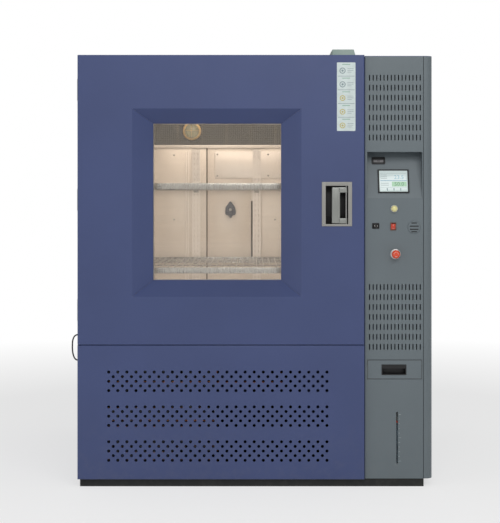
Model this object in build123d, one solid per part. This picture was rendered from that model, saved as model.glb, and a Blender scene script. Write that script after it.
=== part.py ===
from build123d import *
import math
import os

os.makedirs("parts", exist_ok=True)

# A 1000 litre climatic test chamber: a steel cabinet with one glazed door on the left,
# a machine room below it and a grey control column on the right.
# Millimetres, +Z up, the front faces -Y. The origin is on the floor under the body's centre.

# Test space and the walls around it
inner_w = 1000.0
inner_h = 1000.0
inner_d = 1000.0
side_wall = 90.0
floor_wall = 96.0
roof_wall = 94.0
back_wall = 82.0
duct_d = 127.0
rear_gap = 88.0

# Door, machine room, column and plinth
door_t = 95.0
seal_gap = 8.0
machine_h = 552.0
plinth_h = 33.0
column_w = 280.0
column_setback = 20.0
column_drop = 2.0
corner_band = 36.0
corner_r = 30.0

# Sheet, seams and clearances
skin = 2.0
liner_t = 1.5
seam = 3.0
fold_r = 6.0
hem = 15.0
body_gap = 0.3
run_gap = 0.05
turned_sides = 24
foam_gap = 0.2

# Window in the door
glass_w = 530.0
glass_h = 648.0
glass_shift = -17.5
glass_mid_z = 1172.0
bevel_side = 82.0
bevel_top = 59.0
bevel_bottom = 65.0
bevel_depth = 55.0
bevel_t = 3.0
pane_t = 6.0
pane_lap = 14.0
pane_pitch = 25.0

# Handle, lever and latch
pocket_w = 94.0
pocket_h = 159.0
pocket_d = 48.0
pocket_edge = 115.0
pocket_mid_z = 1159.5
pocket_rim = 15.0
pocket_rim_low = 8.0
rim_t = 3.0
grip_w = 35.0
grip_from_left = 26.0
lever_t = 12.0
lever_arm_h = 23.0
lever_gap_low = 2.0
lever_gap_top = 6.0
lever_inset = 3.0
lever_pin_r = 3.0
lever_pin_edge = 8.0
latch_mid_z = 1160.0
latch_travel = 12.0
tongue_w = 20.0
tongue_h = 30.0
tongue_out = 27.0
keeper_depth = 37.0

# Hinges
hinge_r = 7.0
hinge_pin_r = 3.5
hinge_h = 90.0
hinge_leaf_t = 3.0
hinge_leaf_w = 52.0
hinge_heights = (720.0, 1180.0, 1640.0)

# Perforations of the lower panel
hole_side = 11.6
hole_pitch = 37.3
hole_row = 19.0
holes_across = 25
rows_per_band = 5
band_pitch = 143.0
band_top_z = 474.0
holes_shift = -13.5

# Slots of the column
slot_w = 4.4
slot_h = 24.5
slot_pitch = 14.9
slot_row = 41.0
slots_across = 15
slot_rows = 7
slots_shift = 3.0
slots_from_top = 90.0
slots_low_z = 821.0

# Control recess and what it holds
recess_w = 227.0
recess_h = 192.0
recess_d = 60.0
recess_shift = 2.5
recess_low_z = 1186.0
bezel_w = 129.0
bezel_h = 102.0
bezel_t = 5.0
screen_w = 117.0
screen_h = 91.0
bezel_shift = -0.5
bezel_up = 74.0
socket_w = 56.0
socket_h = 31.0
socket_shift = -60.0
socket_up = 164.0

# Small controls: how far each one sits from the column's middle line, and its height
lamp_place = (0.0, 1144.0)
lamp_r = 13.0
black_switch_place = (-76.0, 1073.0)
black_switch = (29.0, 23.0)
red_switch_place = (-4.0, 1071.0)
red_switch = (25.0, 33.0)
rocker_tilt = 7.0
rocker_pivot = 7.0
rim_w = 3.0
buzzer_place = (82.0, 1067.0)
buzzer_r = 26.5
stop_place = (5.0, 957.0)
stop_r = 17.5
stop_collar_r = 21.0
stop_stem_r = 8.0
stop_travel = 5.0

# Water drawer, tank and level gauge
drawer_w = 226.0
drawer_h = 80.0
drawer_shift = 2.0
drawer_mid_z = 482.0
drawer_gap = 0.8
tray_depth = 259.0
tray_h = 51.0
pull_w = 102.0
pull_h = 43.0
pull_d = 20.0
gauge_shift = 12.0
gauge_low_z = 95.0
gauge_high_z = 307.0
gauge_slot_w = 8.0
gauge_r = 5.0

# Shelves, lamp, port, fans
shelf_lifts = (189.0, 544.0)
shelf_bar = 15.0
shelf_rim_h = 25.0
shelf_wires = 13
standard_w = 40.0
standard_t = 15.0
standard_shift = 150.0
grille_h = 245.0
chamber_lamp_drop = 162.0
chamber_lamp_shift = -171.0
probe_lift = 449.0
probe_shift = 20.0
intake_h = 47.0
port_r = 25.0
port_wall = 3.0
port_y = -100.0
port_lift = 499.0
fan_r = 140.0
fan_lift = 609.0
fan_shaft_r = 8.0
condenser_fan_r = 180.0
condenser_from_left = 330.0
condenser_z = 300.0

# Sizes and planes that follow from the above
chamber_w = inner_w + 2 * side_wall
body_w = chamber_w + column_w
body_d = door_t + seal_gap + inner_d + duct_d + back_wall + rear_gap
deck_z = plinth_h + machine_h
body_h = deck_z + floor_wall + inner_h + roof_wall
left_x = -body_w / 2
right_x = body_w / 2
front_y = -body_d / 2
back_y = body_d / 2
column_x = left_x + chamber_w
column_y = front_y + column_setback
column_top = body_h - column_drop
column_mid_x = (column_x + right_x - corner_band) / 2
slots_mid_x = column_mid_x + slots_shift
slots_high_z = column_top - slots_from_top
recess_mid_x = column_mid_x + recess_shift
bezel_mid_x = column_mid_x + bezel_shift
socket_mid_x = column_mid_x + socket_shift
drawer_mid_x = column_mid_x + drawer_shift
gauge_x = column_mid_x + gauge_shift
lamp_at = (column_mid_x + lamp_place[0], lamp_place[1])
black_switch_at = (column_mid_x + black_switch_place[0], black_switch_place[1])
red_switch_at = (column_mid_x + red_switch_place[0], red_switch_place[1])
buzzer_at = (column_mid_x + buzzer_place[0], buzzer_place[1])
stop_at = (column_mid_x + stop_place[0], stop_place[1])
condenser_x = left_x + condenser_from_left
holes_mid_x = (left_x + column_x) / 2 + holes_shift
door_back_y = front_y + door_t
face_y = door_back_y + seal_gap
mouth_x0 = left_x + side_wall
mouth_x1 = mouth_x0 + inner_w
mouth_mid_x = (mouth_x0 + mouth_x1) / 2
mouth_z0 = deck_z + floor_wall
mouth_z1 = mouth_z0 + inner_h
shelf_heights = [mouth_z0 + lift for lift in shelf_lifts]
port_z = mouth_z0 + port_lift
fan_z = mouth_z0 + fan_lift
baffle_y = face_y + inner_d
duct_back_y = baffle_y + duct_d
shell_back_y = duct_back_y + back_wall
foam_x0 = left_x + skin
foam_x1 = column_x - skin
foam_z0 = deck_z + skin
foam_z1 = body_h - skin
foam_y0 = face_y + skin
foam_y1 = shell_back_y - skin
liner_x0 = mouth_x0 - liner_t
liner_x1 = mouth_x1 + liner_t
liner_z0 = mouth_z0 - liner_t
liner_z1 = mouth_z1 + liner_t
liner_y1 = duct_back_y + liner_t
door_x0 = left_x
door_x1 = column_x - seam / 2
door_z0 = deck_z + seam / 2
door_z1 = body_h
door_skin_y = door_back_y - skin
glass_mid_x = mouth_mid_x + glass_shift
glass_x0 = glass_mid_x - glass_w / 2
glass_x1 = glass_mid_x + glass_w / 2
glass_z0 = glass_mid_z - glass_h / 2
glass_z1 = glass_mid_z + glass_h / 2
bevel_x0 = glass_x0 - bevel_side
bevel_x1 = glass_x1 + bevel_side
bevel_z0 = glass_z0 - bevel_bottom
bevel_z1 = glass_z1 + bevel_top
pane_y = front_y + bevel_depth + bevel_t
hinge_x = left_x - hinge_r
hinge_y = (door_back_y + face_y) / 2


def span(x0, x1, y0, y1, z0, z1):
    return Pos((x0 + x1) / 2, (y0 + y1) / 2, (z0 + z1) / 2) * Box(x1 - x0, y1 - y0, z1 - z0)


def rod_x(x0, x1, y, z, r):
    return Pos((x0 + x1) / 2, y, z) * Rot(0, 90, 0) * Cylinder(r, x1 - x0)


def rod_y(x, y0, y1, z, r):
    return Pos(x, (y0 + y1) / 2, z) * Rot(90, 0, 0) * Cylinder(r, y1 - y0)


def rod_z(x, y, z0, z1, r):
    return Pos(x, y, (z0 + z1) / 2) * Cylinder(r, z1 - z0)


def front_plane(y):
    # A plane whose own x runs along +X and own y along +Z, facing the front
    return Plane(origin=(0, y, 0), x_dir=(1, 0, 0), z_dir=(0, -1, 0))


def turned_y(points, x, z):
    # A many-sided body about a line along Y at (x, z), from back to front by (radius, y) points
    body = Part()
    for (r0, y0), (r1, y1) in zip(points, points[1:]):
        if y1 == y0:
            continue
        wide, y, facing = (r0, y0, -1) if r0 >= r1 else (r1, y1, 1)
        plane = Plane(origin=(x, y, z), x_dir=(1, 0, 0), z_dir=(0, facing, 0))
        shrink = abs(r0 - r1) * math.cos(math.pi / turned_sides)
        slant = math.degrees(math.atan2(shrink, y0 - y1))
        body += extrude(plane * RegularPolygon(wide, turned_sides), y0 - y1, taper=slant)
    return body


def rounded_upright(part, x, y, r):
    # Rounds the upright edge of a part that stands at (x, y)
    near = [e for e in part.edges().filter_by(Axis.Z)
            if abs(e.center().X - x) < 0.01 and abs(e.center().Y - y) < 0.01]
    return fillet(near, r)


def save(name, *pieces):
    solids = [solid for piece in pieces for solid in piece.solids()]
    export_step(Compound(solids), f"parts/{name}.step")


# Base frame: four rails and two crossmembers under a pan, and the posts that carry the chamber

def base_frame():
    x0 = left_x + 8
    x1 = right_x - corner_band
    y0 = front_y + 25
    y1 = back_y - 25
    rail = 50
    frame = span(x0, x1, y0, y1, 0, plinth_h)
    half = rail / 2
    for px0, px1 in ((x0 + rail, -half), (half, x1 - rail)):
        for py0, py1 in ((y0 + rail, -half), (half, y1 - rail)):
            frame -= span(px0, px1, py0, py1, -1, plinth_h - 3)
    post = 30
    posts = []
    for px in (left_x + hem + 2, column_x - post - 6):
        for py in (face_y + 10, 0, shell_back_y - post - 10):
            posts.append(span(px, px + post, py, py + post, plinth_h, deck_z))
    save("base_frame", frame, *posts)


# Outer panels

def side_and_rear_panels():
    # The left side in two sheets and the louvred back
    upper = span(left_x, left_x + skin, face_y, back_y - skin, deck_z, body_h - skin)
    upper -= rod_x(left_x - 1, left_x + skin + 1, port_y, port_z, port_r + port_wall + body_gap)
    lower = span(left_x, left_x + hem, panel_back_y, back_y - skin, plinth_h, deck_z - 1)
    lower -= span(left_x + skin, left_x + hem + 1, panel_back_y + skin, back_y - 2 * skin,
                  plinth_h + skin, deck_z - 1 - skin)
    rear = span(left_x, right_x, back_y - skin, back_y, plinth_h, column_top - skin)
    louvre_w = 220
    for x in (left_x + 380, left_x + 830, column_x + 130):
        for row in range(6):
            z = 150 + 45 * row
            rear -= span(x - louvre_w / 2, x + louvre_w / 2, back_y - skin - 1, back_y + 1, z, z + 12)
    rear -= rod_y(inlet_x, back_y - skin - 1, back_y + 1, inlet_z, inlet_r)
    save("side_and_rear_panels", upper, lower, rear)


def roof_panels():
    over_chamber = span(left_x, column_x, face_y, back_y, body_h - skin, body_h)
    over_column = span(column_x + seam / 2, right_x, column_y, back_y, column_top - skin, column_top)
    over_column = rounded_upright(over_column, right_x, column_y, corner_r)
    save("roof_panels", over_chamber, over_column)


def column_side_panel():
    x0 = right_x - corner_band
    shell = span(x0, right_x, column_y, back_y - skin, plinth_h, column_top - skin)
    shell = rounded_upright(shell, right_x, column_y, corner_r)
    room = span(x0 - 1, right_x - skin, column_y + skin, back_y, plinth_h - 1, column_top)
    room = rounded_upright(room, right_x - skin, column_y + skin, corner_r - skin)
    save("column_side_panel", shell - room)


def lower_front_panel():
    x1 = column_x - seam / 2
    z1 = deck_z - seam / 2
    panel = span(left_x, x1, front_y, panel_back_y, plinth_h, z1)
    panel = rounded_upright(panel, left_x, front_y, fold_r)
    room = span(left_x + skin, x1 - skin, front_y + skin, panel_back_y + 1, plinth_h + skin, z1 - skin)
    panel -= room
    # Three bands of staggered four-sided holes, each row shifted by half a pitch
    spots = []
    for band in range(3):
        for row in range(rows_per_band):
            z = band_top_z - band * band_pitch - row * hole_row
            count = holes_across - row % 2
            for i in range(count):
                spots.append((holes_mid_x + (i - (count - 1) / 2) * hole_pitch, z))
    holes = Sketch() + [Pos(x, z) * Rectangle(hole_side, hole_side, rotation=45) for x, z in spots]
    panel -= extrude(front_plane(front_y + skin + 1) * holes, skin + 2)
    save("lower_front_panel", panel)


panel_back_y = front_y + 22
inlet_x = column_x + 110
inlet_z = 380.0
inlet_r = 16.0


# Chamber: casing skins, foam, liner with its flange

def chamber_casing():
    floor = span(foam_x0, column_x, face_y, shell_back_y, deck_z, deck_z + skin)
    right = span(foam_x1, column_x, face_y, shell_back_y, deck_z + skin, body_h - skin)
    back = span(foam_x0, foam_x1, foam_y1, shell_back_y, deck_z + skin, body_h - skin)
    back -= rod_y(mouth_mid_x, foam_y1 - 1, shell_back_y + 1, fan_z, fan_shaft_r + 4)
    sill = span(left_x + hem + 1, foam_x1, panel_back_y, face_y, deck_z - seam / 2 - skin, deck_z - seam / 2)
    save("chamber_casing", floor, right, back, sill)


def boxes_around(x, y, z, hole):
    # The blocks that are left of a slab when a box is cut right through it along one axis
    (x0, x1), (y0, y1), (z0, z1) = x, y, z
    (hx0, hx1), (hy0, hy1), (hz0, hz1) = hole
    g = foam_gap
    blocks = [span(x0, x1, y0, y1, z0, hz0 - g), span(x0, x1, y0, y1, hz1 + g, z1)]
    if hy0 > y0:
        blocks.append(span(x0, x1, y0, hy0 - g, hz0, hz1))
    if hy1 < y1:
        blocks.append(span(x0, x1, hy1 + g, y1, hz0, hz1))
    if hx0 > x0:
        blocks.append(span(x0, hx0 - g, max(y0, hy0), min(y1, hy1), hz0, hz1))
    if hx1 < x1:
        blocks.append(span(hx1 + g, x1, max(y0, hy0), min(y1, hy1), hz0, hz1))
    return blocks


def chamber_insulation():
    g = foam_gap
    port = port_r + port_wall + 2
    left = boxes_around((foam_x0, liner_x0 - g), (foam_y0, foam_y1), (foam_z0, foam_z1),
                        ((foam_x0, liner_x0 - g), (port_y - port, port_y + port),
                         (port_z - port, port_z + port)))
    k = keeper_box()
    right = boxes_around((liner_x1 + g, foam_x1), (foam_y0, foam_y1), (foam_z0, foam_z1),
                         ((k[0] - g, k[1] + g), (foam_y0, k[2] + g), (k[3] - g, k[4] + g)))
    low = span(liner_x0, liner_x1, foam_y0, foam_y1, foam_z0, liner_z0 - g)
    top = span(liner_x0, liner_x1, foam_y0, foam_y1, liner_z1 + g, foam_z1)
    tunnel = fan_shaft_r + 12
    back = boxes_around((liner_x0, liner_x1), (liner_y1 + g, foam_y1), (liner_z0, liner_z1),
                        ((mouth_mid_x - tunnel, mouth_mid_x + tunnel), (liner_y1 + g, foam_y1),
                         (fan_z - tunnel, fan_z + tunnel)))
    save("chamber_insulation", *left, *right, low, top, *back)


def keeper_box():
    # Outer limits of the latch keeper: x, x, back y, z, z
    mid = latch_rest_x - latch_travel / 2 + tongue_w / 2
    half = (tongue_w + latch_travel) / 2 + 8 + skin
    half_h = tongue_h / 2 + 17 + skin
    return mid - half, mid + half, face_y + keeper_depth, latch_mid_z - half_h, latch_mid_z + half_h


latch_rest_x = column_x - 46


def chamber_liner():
    left = span(liner_x0, mouth_x0, foam_y0, liner_y1, liner_z0, liner_z1)
    left -= rod_x(liner_x0 - 1, mouth_x0 + 1, port_y, port_z, port_r + port_wall + body_gap)
    right = span(mouth_x1, liner_x1, foam_y0, liner_y1, liner_z0, liner_z1)
    floor = span(mouth_x0, mouth_x1, foam_y0, liner_y1, liner_z0, mouth_z0)
    ceiling = span(mouth_x0, mouth_x1, foam_y0, liner_y1, mouth_z1, liner_z1)
    back = span(mouth_x0, mouth_x1, duct_back_y, liner_y1, mouth_z0, mouth_z1)
    back -= rod_y(mouth_mid_x, duct_back_y - 1, liner_y1 + 1, fan_z, fan_shaft_r + 4)
    flange_left = span(foam_x0, mouth_x0, face_y, foam_y0, foam_z0, foam_z1)
    flange_right = span(mouth_x1, foam_x1, face_y, foam_y0, foam_z0, foam_z1)
    k = keeper_box()
    flange_right -= span(k[0], k[1], face_y - 1, foam_y0 + 1, k[3], k[4])
    flange_low = span(mouth_x0, mouth_x1, face_y, foam_y0, foam_z0, mouth_z0)
    flange_top = span(mouth_x0, mouth_x1, face_y, foam_y0, mouth_z1, foam_z1)
    save("chamber_liner", left, right, floor, ceiling, back,
         flange_left, flange_right, flange_low, flange_top)


def latch_keeper():
    x0, x1, y1, z0, z1 = keeper_box()
    box = span(x0, x1, face_y, y1, z0, z1)
    box -= span(x0 + skin, x1 - skin, face_y - 1, y1 - skin, z0 + skin, z1 - skin)
    save("latch_keeper", box)


# Air duct behind the test space

grille_z0 = mouth_z1 - grille_h


def air_baffle():
    plate = span(mouth_x0 + 1, mouth_x1 - 1, baffle_y, baffle_y + skin,
                 mouth_z0 + intake_h, grille_z0)
    fold = span(mouth_x0 + 1, mouth_x1 - 1, baffle_y - 12, baffle_y, grille_z0 - skin, grille_z0)
    stands = []
    for x in (mouth_x0 + 40, mouth_x1 - 60):
        stands.append(span(x, x + 20, baffle_y + skin, duct_back_y, mouth_z0 + intake_h, grille_z0))
    save("air_baffle", plate + fold + stands)


def air_outlet_grille():
    x0 = mouth_x0 + 1
    x1 = mouth_x1 - 1
    z0 = grille_z0
    z1 = mouth_z1 - 1
    rim = 14
    depth = 8
    grille = span(x0, x1, baffle_y, baffle_y + depth, z0, z1)
    grille -= span(x0 + rim, x1 - rim, baffle_y - 1, baffle_y + depth + 1, z0 + rim, z1 - rim)
    bars = 22
    pitch = (x1 - x0 - 2 * rim) / (bars + 1)
    for i in range(bars):
        x = x0 + rim + pitch * (i + 1)
        grille += span(x - 1.5, x + 1.5, baffle_y, baffle_y + depth - 3, z0 + rim - 1, z1 - rim + 1)
    save("air_outlet_grille", grille)


def heater_coil():
    coil = Part()
    ends = (mouth_mid_x - 360, mouth_mid_x + 360)
    for x in ends:
        coil += span(x - 2, x + 2, duct_back_y - 80, duct_back_y, 1060, 1130)
    for z in (1075, 1095, 1115):
        coil += rod_x(ends[0], ends[1], duct_back_y - 60, z, 5)
        coil += rod_x(ends[0], ends[1], duct_back_y - 35, z, 5)
    save("heater_coil", coil)


def evaporator_coil():
    x0 = mouth_mid_x - 380
    x1 = mouth_mid_x + 380
    block = span(x0, x1, duct_back_y - 95, duct_back_y, 760, 1030)
    fins = 14
    pitch = (x1 - x0) / fins
    for i in range(fins):
        x = x0 + pitch * (i + 0.5)
        block -= span(x - pitch * 0.3, x + pitch * 0.3, duct_back_y - 96, duct_back_y - 20, 759, 1031)
    save("evaporator_coil", block)


fan_y0 = baffle_y + 35
fan_y1 = baffle_y + 95
motor_y0 = shell_back_y
motor_y1 = shell_back_y + 74


def circulation_fan():
    x = mouth_mid_x
    hub = rod_y(x, fan_y0, fan_y1 + 8, fan_z, 22)
    disc = rod_y(x, fan_y1 - 3, fan_y1, fan_z, fan_r)
    wheel = hub + disc
    blades = 10
    for i in range(blades):
        blade = span(40, fan_r - 8, fan_y0, fan_y1 - 2, -2, 2)
        blade = Pos(x, 0, fan_z) * Rot(0, 360 * i / blades, 0) * Pos(0, 0, 25) * blade
        wheel += blade
    shaft = rod_y(x, fan_y0 + 5, motor_y0 + 40, fan_z, fan_shaft_r)
    save("circulation_fan", wheel + shaft)


def circulation_motor():
    x = mouth_mid_x
    flange = span(x - 75, x + 75, motor_y0, motor_y0 + 6, fan_z - 75, fan_z + 75)
    can = rod_y(x, motor_y0 + 6, motor_y1, fan_z, 62)
    bore = rod_y(x, motor_y0 - 1, motor_y0 + 42, fan_z, fan_shaft_r + run_gap)
    save("circulation_motor", flange + can - bore)


# Fittings of the test space

standard_xs = (mouth_mid_x - standard_shift, mouth_mid_x + standard_shift)
standard_y = face_y + 115
clip_reach = 20.0
clip_h = 12.0
shelf_x0 = mouth_x0 + standard_t + 6
shelf_x1 = mouth_x1 - standard_t - 6
shelf_y0 = face_y + 40
shelf_y1 = baffle_y - standard_t - 5


def shelf_standards():
    z0 = mouth_z0 + 40
    z1 = grille_z0 - 10
    half = standard_w / 2
    pieces = []
    for x in standard_xs:
        post = span(x - half, x + half, baffle_y - standard_t, baffle_y, z0, z1)
        for i in range(5):
            z = z0 + 60 + 145 * i
            post -= span(x - 4, x + 4, baffle_y - standard_t - 1, baffle_y + 1, z, z + 30)
        pieces.append(post)
    for x0, x1 in ((mouth_x0, mouth_x0 + standard_t), (mouth_x1 - standard_t, mouth_x1)):
        pieces.append(span(x0, x1, standard_y - half, standard_y + half, z0, z1))
    for z in shelf_heights:
        for x in standard_xs:
            pieces.append(span(x - 12, x + 12, baffle_y - standard_t - clip_reach, baffle_y - standard_t,
                               z - clip_h, z))
        for x0, x1 in ((mouth_x0 + standard_t, mouth_x0 + standard_t + clip_reach),
                       (mouth_x1 - standard_t - clip_reach, mouth_x1 - standard_t)):
            pieces.append(span(x0, x1, standard_y - 12, standard_y + 12, z - clip_h, z))
    save("shelf_standards", *pieces)


def shelves():
    pieces = []
    for z in shelf_heights:
        shelf = span(shelf_x0, shelf_x1, shelf_y0, shelf_y1, z, z + shelf_rim_h)
        shelf -= span(shelf_x0 + shelf_bar, shelf_x1 - shelf_bar, shelf_y0 + shelf_bar,
                      shelf_y1 - shelf_bar, z - 1, z + shelf_rim_h + 1)
        pitch = (shelf_x1 - shelf_x0) / (shelf_wires + 1)
        for i in range(shelf_wires):
            x = shelf_x0 + pitch * (i + 1)
            shelf += span(x - 3, x + 3, shelf_y0 + shelf_bar - 2, shelf_y1 - shelf_bar + 2,
                          z + shelf_rim_h - 8, z + shelf_rim_h - 2)
        pieces.append(shelf)
    save("shelves", *pieces)


def chamber_lamp():
    lamp = turned_y([(46, baffle_y), (46, baffle_y - 14), (38, baffle_y - 18), (34, baffle_y - 44),
                     (20, baffle_y - 57)], mouth_mid_x + chamber_lamp_shift, mouth_z1 - chamber_lamp_drop)
    save("chamber_lamp", lamp)


def air_probe():
    # A rubber-capped probe that comes through the baffle below the upper shelf
    probe = turned_y([(26, baffle_y), (28, baffle_y - 20), (22, baffle_y - 44), (8, baffle_y - 60)],
                     mouth_mid_x + probe_shift, mouth_z0 + probe_lift)
    save("air_probe", probe)


def port_sleeve():
    outer = port_r + port_wall
    x_in = mouth_x0 + 3
    tube = rod_x(left_x - 3, x_in, port_y, port_z, outer)
    tube += rod_x(left_x - 3, left_x, port_y, port_z, outer + 10)
    tube += rod_x(mouth_x0, x_in, port_y, port_z, outer + 6)
    tube -= rod_x(left_x - 4, x_in + 1, port_y, port_z, port_r)
    save("port_sleeve", tube)


def port_plug():
    x_head = left_x - 3 - body_gap
    plug = rod_x(x_head - 12, x_head, port_y, port_z, port_r + 8)
    plug += rod_x(x_head, left_x + 37, port_y, port_z, port_r - body_gap)
    save("port_plug", plug)


# Door

def foam_ring(x, y, z, hole):
    # Four boards around a rectangular hole that goes through along Y
    (x0, x1), (y0, y1), (z0, z1) = x, y, z
    hx0, hx1, hz0, hz1 = hole
    g = foam_gap
    return [span(x0, hx0, y0, y1, z0, z1), span(hx1, x1, y0, y1, z0, z1),
            span(hx0 + g, hx1 - g, y0, y1, z0, hz0), span(hx0 + g, hx1 - g, y0, y1, hz1, z1)]


pocket_x1 = door_x1 - pocket_edge + pocket_w / 2 + 1.5
pocket_x0 = pocket_x1 - pocket_w
pocket_z0 = pocket_mid_z - pocket_h / 2
pocket_z1 = pocket_mid_z + pocket_h / 2
pocket_back_y = front_y + pocket_d
case_x0 = pocket_x0 + 42
case_x1 = door_x1 - 10
case_y0 = pocket_back_y + 5
case_z0 = latch_mid_z - 32
case_z1 = latch_mid_z + 32
case_t = 2.0


def door_shell():
    shell = span(door_x0, door_x1, front_y, door_skin_y, door_z0, door_z1)
    shell = rounded_upright(shell, door_x0, front_y, fold_r)
    shell = rounded_upright(shell, door_x1, front_y, fold_r)
    shell -= span(door_x0 + skin, door_x1 - skin, front_y + skin, door_skin_y + 1,
                  door_z0 + skin, door_z1 - skin)
    shell -= span(bevel_x0, bevel_x1, front_y - 1, front_y + skin + 1, bevel_z0, bevel_z1)
    shell -= span(pocket_x0 - skin, pocket_x1 + skin, front_y - 1, front_y + skin + 1,
                  pocket_z0 - skin, pocket_z1 + skin)
    save("door_shell", shell)


def window_bevel():
    # Four sloping plates, mitred where they meet
    y0 = front_y
    y1 = front_y + bevel_depth
    outer = [(bevel_x0, bevel_z0), (bevel_x1, bevel_z0), (bevel_x1, bevel_z1), (bevel_x0, bevel_z1)]
    inner = [(glass_x0, glass_z0), (glass_x1, glass_z0), (glass_x1, glass_z1), (glass_x0, glass_z1)]
    gap = 0.2
    plates = []
    for i in range(4):
        j = (i + 1) % 4
        along = Vector(outer[j][0] - outer[i][0], 0, outer[j][1] - outer[i][1]).normalized() * gap
        corners = [Vector(outer[i][0], y0, outer[i][1]) + along,
                   Vector(outer[j][0], y0, outer[j][1]) - along,
                   Vector(inner[j][0], y1, inner[j][1]) - along,
                   Vector(inner[i][0], y1, inner[i][1]) + along]
        face = make_face(Polyline(*corners, close=True))
        plates.append(extrude(face, bevel_t, dir=(0, 1, 0)))
    save("window_bevel", *plates)


def window_panes():
    panes = []
    for i in range(2):
        y = pane_y + i * pane_pitch
        panes.append(span(glass_x0 - pane_lap, glass_x1 + pane_lap, y, y + pane_t,
                          glass_z0 - pane_lap, glass_z1 + pane_lap))
    save("window_panes", *panes)


spacer_y1 = door_back_y + 16
plug_y = door_back_y + 18
plug_gap = 15.0


def window_spacers():
    # A frame between the panes and one from the inner pane to the inside trim
    rings = []
    for y0, y1 in ((pane_y + pane_t, pane_y + pane_pitch), (pane_y + pane_pitch + pane_t, spacer_y1)):
        ring = span(glass_x0 - pane_lap, glass_x1 + pane_lap, y0, y1, glass_z0 - pane_lap, glass_z1 + pane_lap)
        rings.append(ring - span(glass_x0, glass_x1, y0 - 1, y1 + 1, glass_z0, glass_z1))
    save("window_spacers", *rings)


def door_insulation():
    g = foam_gap
    y0 = front_y + skin + g
    y1 = door_skin_y - g
    x0 = door_x0 + skin + g
    x1 = door_x1 - skin - g
    z0 = door_z0 + skin + g
    z1 = door_z1 - skin - g
    pocket_l = pocket_x0 - skin - 1
    around = foam_ring((x0, pocket_l), (y0, y1), (z0, z1),
                       (bevel_x0 - 1, bevel_x1 + 1, bevel_z0 - 1, bevel_z1 + 1))
    behind_y = front_y + bevel_depth + bevel_t + g
    fill = foam_ring((bevel_x0 - 1 + g, bevel_x1 + 1 - g), (behind_y, y1), (bevel_z0 - 1 + g, bevel_z1 + 1 - g),
                     (glass_x0 - pane_lap - g, glass_x1 + pane_lap + g,
                      glass_z0 - pane_lap - g, glass_z1 + pane_lap + g))
    low = span(pocket_l + g, x1, y0, y1, z0, pocket_z0 - skin - 1)
    high = span(pocket_l + g, x1, y0, y1, pocket_z1 + skin + 1, z1)
    beside = span(pocket_x1 + skin + 1, x1, y0, case_y0 - g, pocket_z0 - skin - 1 + g, pocket_z1 + skin + 1 - g)
    under_case = span(pocket_l + g, x1, case_y0, y1, pocket_z0 - skin - 1 + g, case_z0 - g)
    over_case = span(pocket_l + g, x1, case_y0, y1, case_z1 + g, pocket_z1 + skin + 1 - g)
    save("door_insulation", *around, *fill, low, high, beside, under_case, over_case)


latch_slot = (latch_rest_x - latch_travel - 4, latch_rest_x + tongue_w + 4,
              latch_mid_z - tongue_h / 2 - 3, latch_mid_z + tongue_h / 2 + 3)


def door_inner_skin():
    # A flat sheet with a raised part that enters the mouth of the chamber
    sheet = span(door_x0, door_x1, door_skin_y, door_back_y, door_z0, door_z1)
    x0 = mouth_x0 + plug_gap
    x1 = mouth_x1 - plug_gap
    z0 = mouth_z0 + plug_gap
    z1 = mouth_z1 - plug_gap
    raised = extrude(front_plane(door_back_y) * Pos((x0 + x1) / 2, (z0 + z1) / 2) * Rectangle(x1 - x0, z1 - z0),
                     -(plug_y - door_back_y), taper=20)
    hollow = raised.translate((0, -skin, 0))
    sheet = sheet + raised - hollow
    sheet -= span(glass_x0, glass_x1, door_skin_y - 1, plug_y + 1, glass_z0, glass_z1)
    sheet -= span(latch_slot[0], latch_slot[1], door_skin_y - 1, door_back_y + 1, latch_slot[2], latch_slot[3])
    save("door_inner_skin", sheet)


def door_gasket():
    near = 5
    wide = 16
    y1 = face_y - body_gap
    g = near + wide
    ring = span(mouth_x0 - g, mouth_x1 + g, door_back_y, y1, mouth_z0 - g, mouth_z1 + g)
    ring -= span(mouth_x0 - near, mouth_x1 + near, door_back_y - 1, y1 + 1, mouth_z0 - near, mouth_z1 + near)
    save("door_gasket", ring)


pin_x = pocket_x1 - lever_pin_edge
pin_y = front_y + lever_inset + lever_t / 2


def handle_pocket():
    pan = span(pocket_x0 - skin, pocket_x1 + skin, front_y, pocket_back_y + skin,
               pocket_z0 - skin, pocket_z1 + skin)
    pan += span(pocket_x0 - pocket_rim, pocket_x1 + pocket_rim, front_y - rim_t, front_y,
                pocket_z0 - pocket_rim_low, pocket_z1 + pocket_rim)
    pan -= span(pocket_x0, pocket_x1, front_y - rim_t - 1, pocket_back_y, pocket_z0, pocket_z1)
    pin = rod_z(pin_x, pin_y, pocket_z0, pocket_z1, lever_pin_r)
    case = span(case_x0, case_x1, case_y0, door_skin_y, case_z0, case_z1)
    case -= span(case_x0 + case_t, case_x1 - case_t, case_y0 + case_t, door_skin_y + 1,
                 case_z0 + case_t, case_z1 - case_t)
    save("handle_pocket", pan, pin, case)


def handle_lever():
    grip_x0 = pocket_x0 + grip_from_left
    grip_x1 = grip_x0 + grip_w
    y0 = pin_y - lever_t / 2
    y1 = pin_y + lever_t / 2
    z0 = pocket_z0 + lever_gap_low
    z1 = pocket_z1 - lever_gap_top
    grip = span(grip_x0, grip_x1, y0, y1, z0, z1)
    grip = fillet(grip.edges().filter_by(Axis.Z), 4)
    for a, b in ((z0, z0 + lever_arm_h), (z1 - lever_arm_h, z1)):
        grip += span(grip_x1 - 6, pin_x, y0, y1, a, b)
        grip += rod_z(pin_x, pin_y, a, b, lever_t / 2)
    grip -= rod_z(pin_x, pin_y, z0 - 1, z1 + 1, lever_pin_r + run_gap)
    save("handle_lever", grip)


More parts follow.
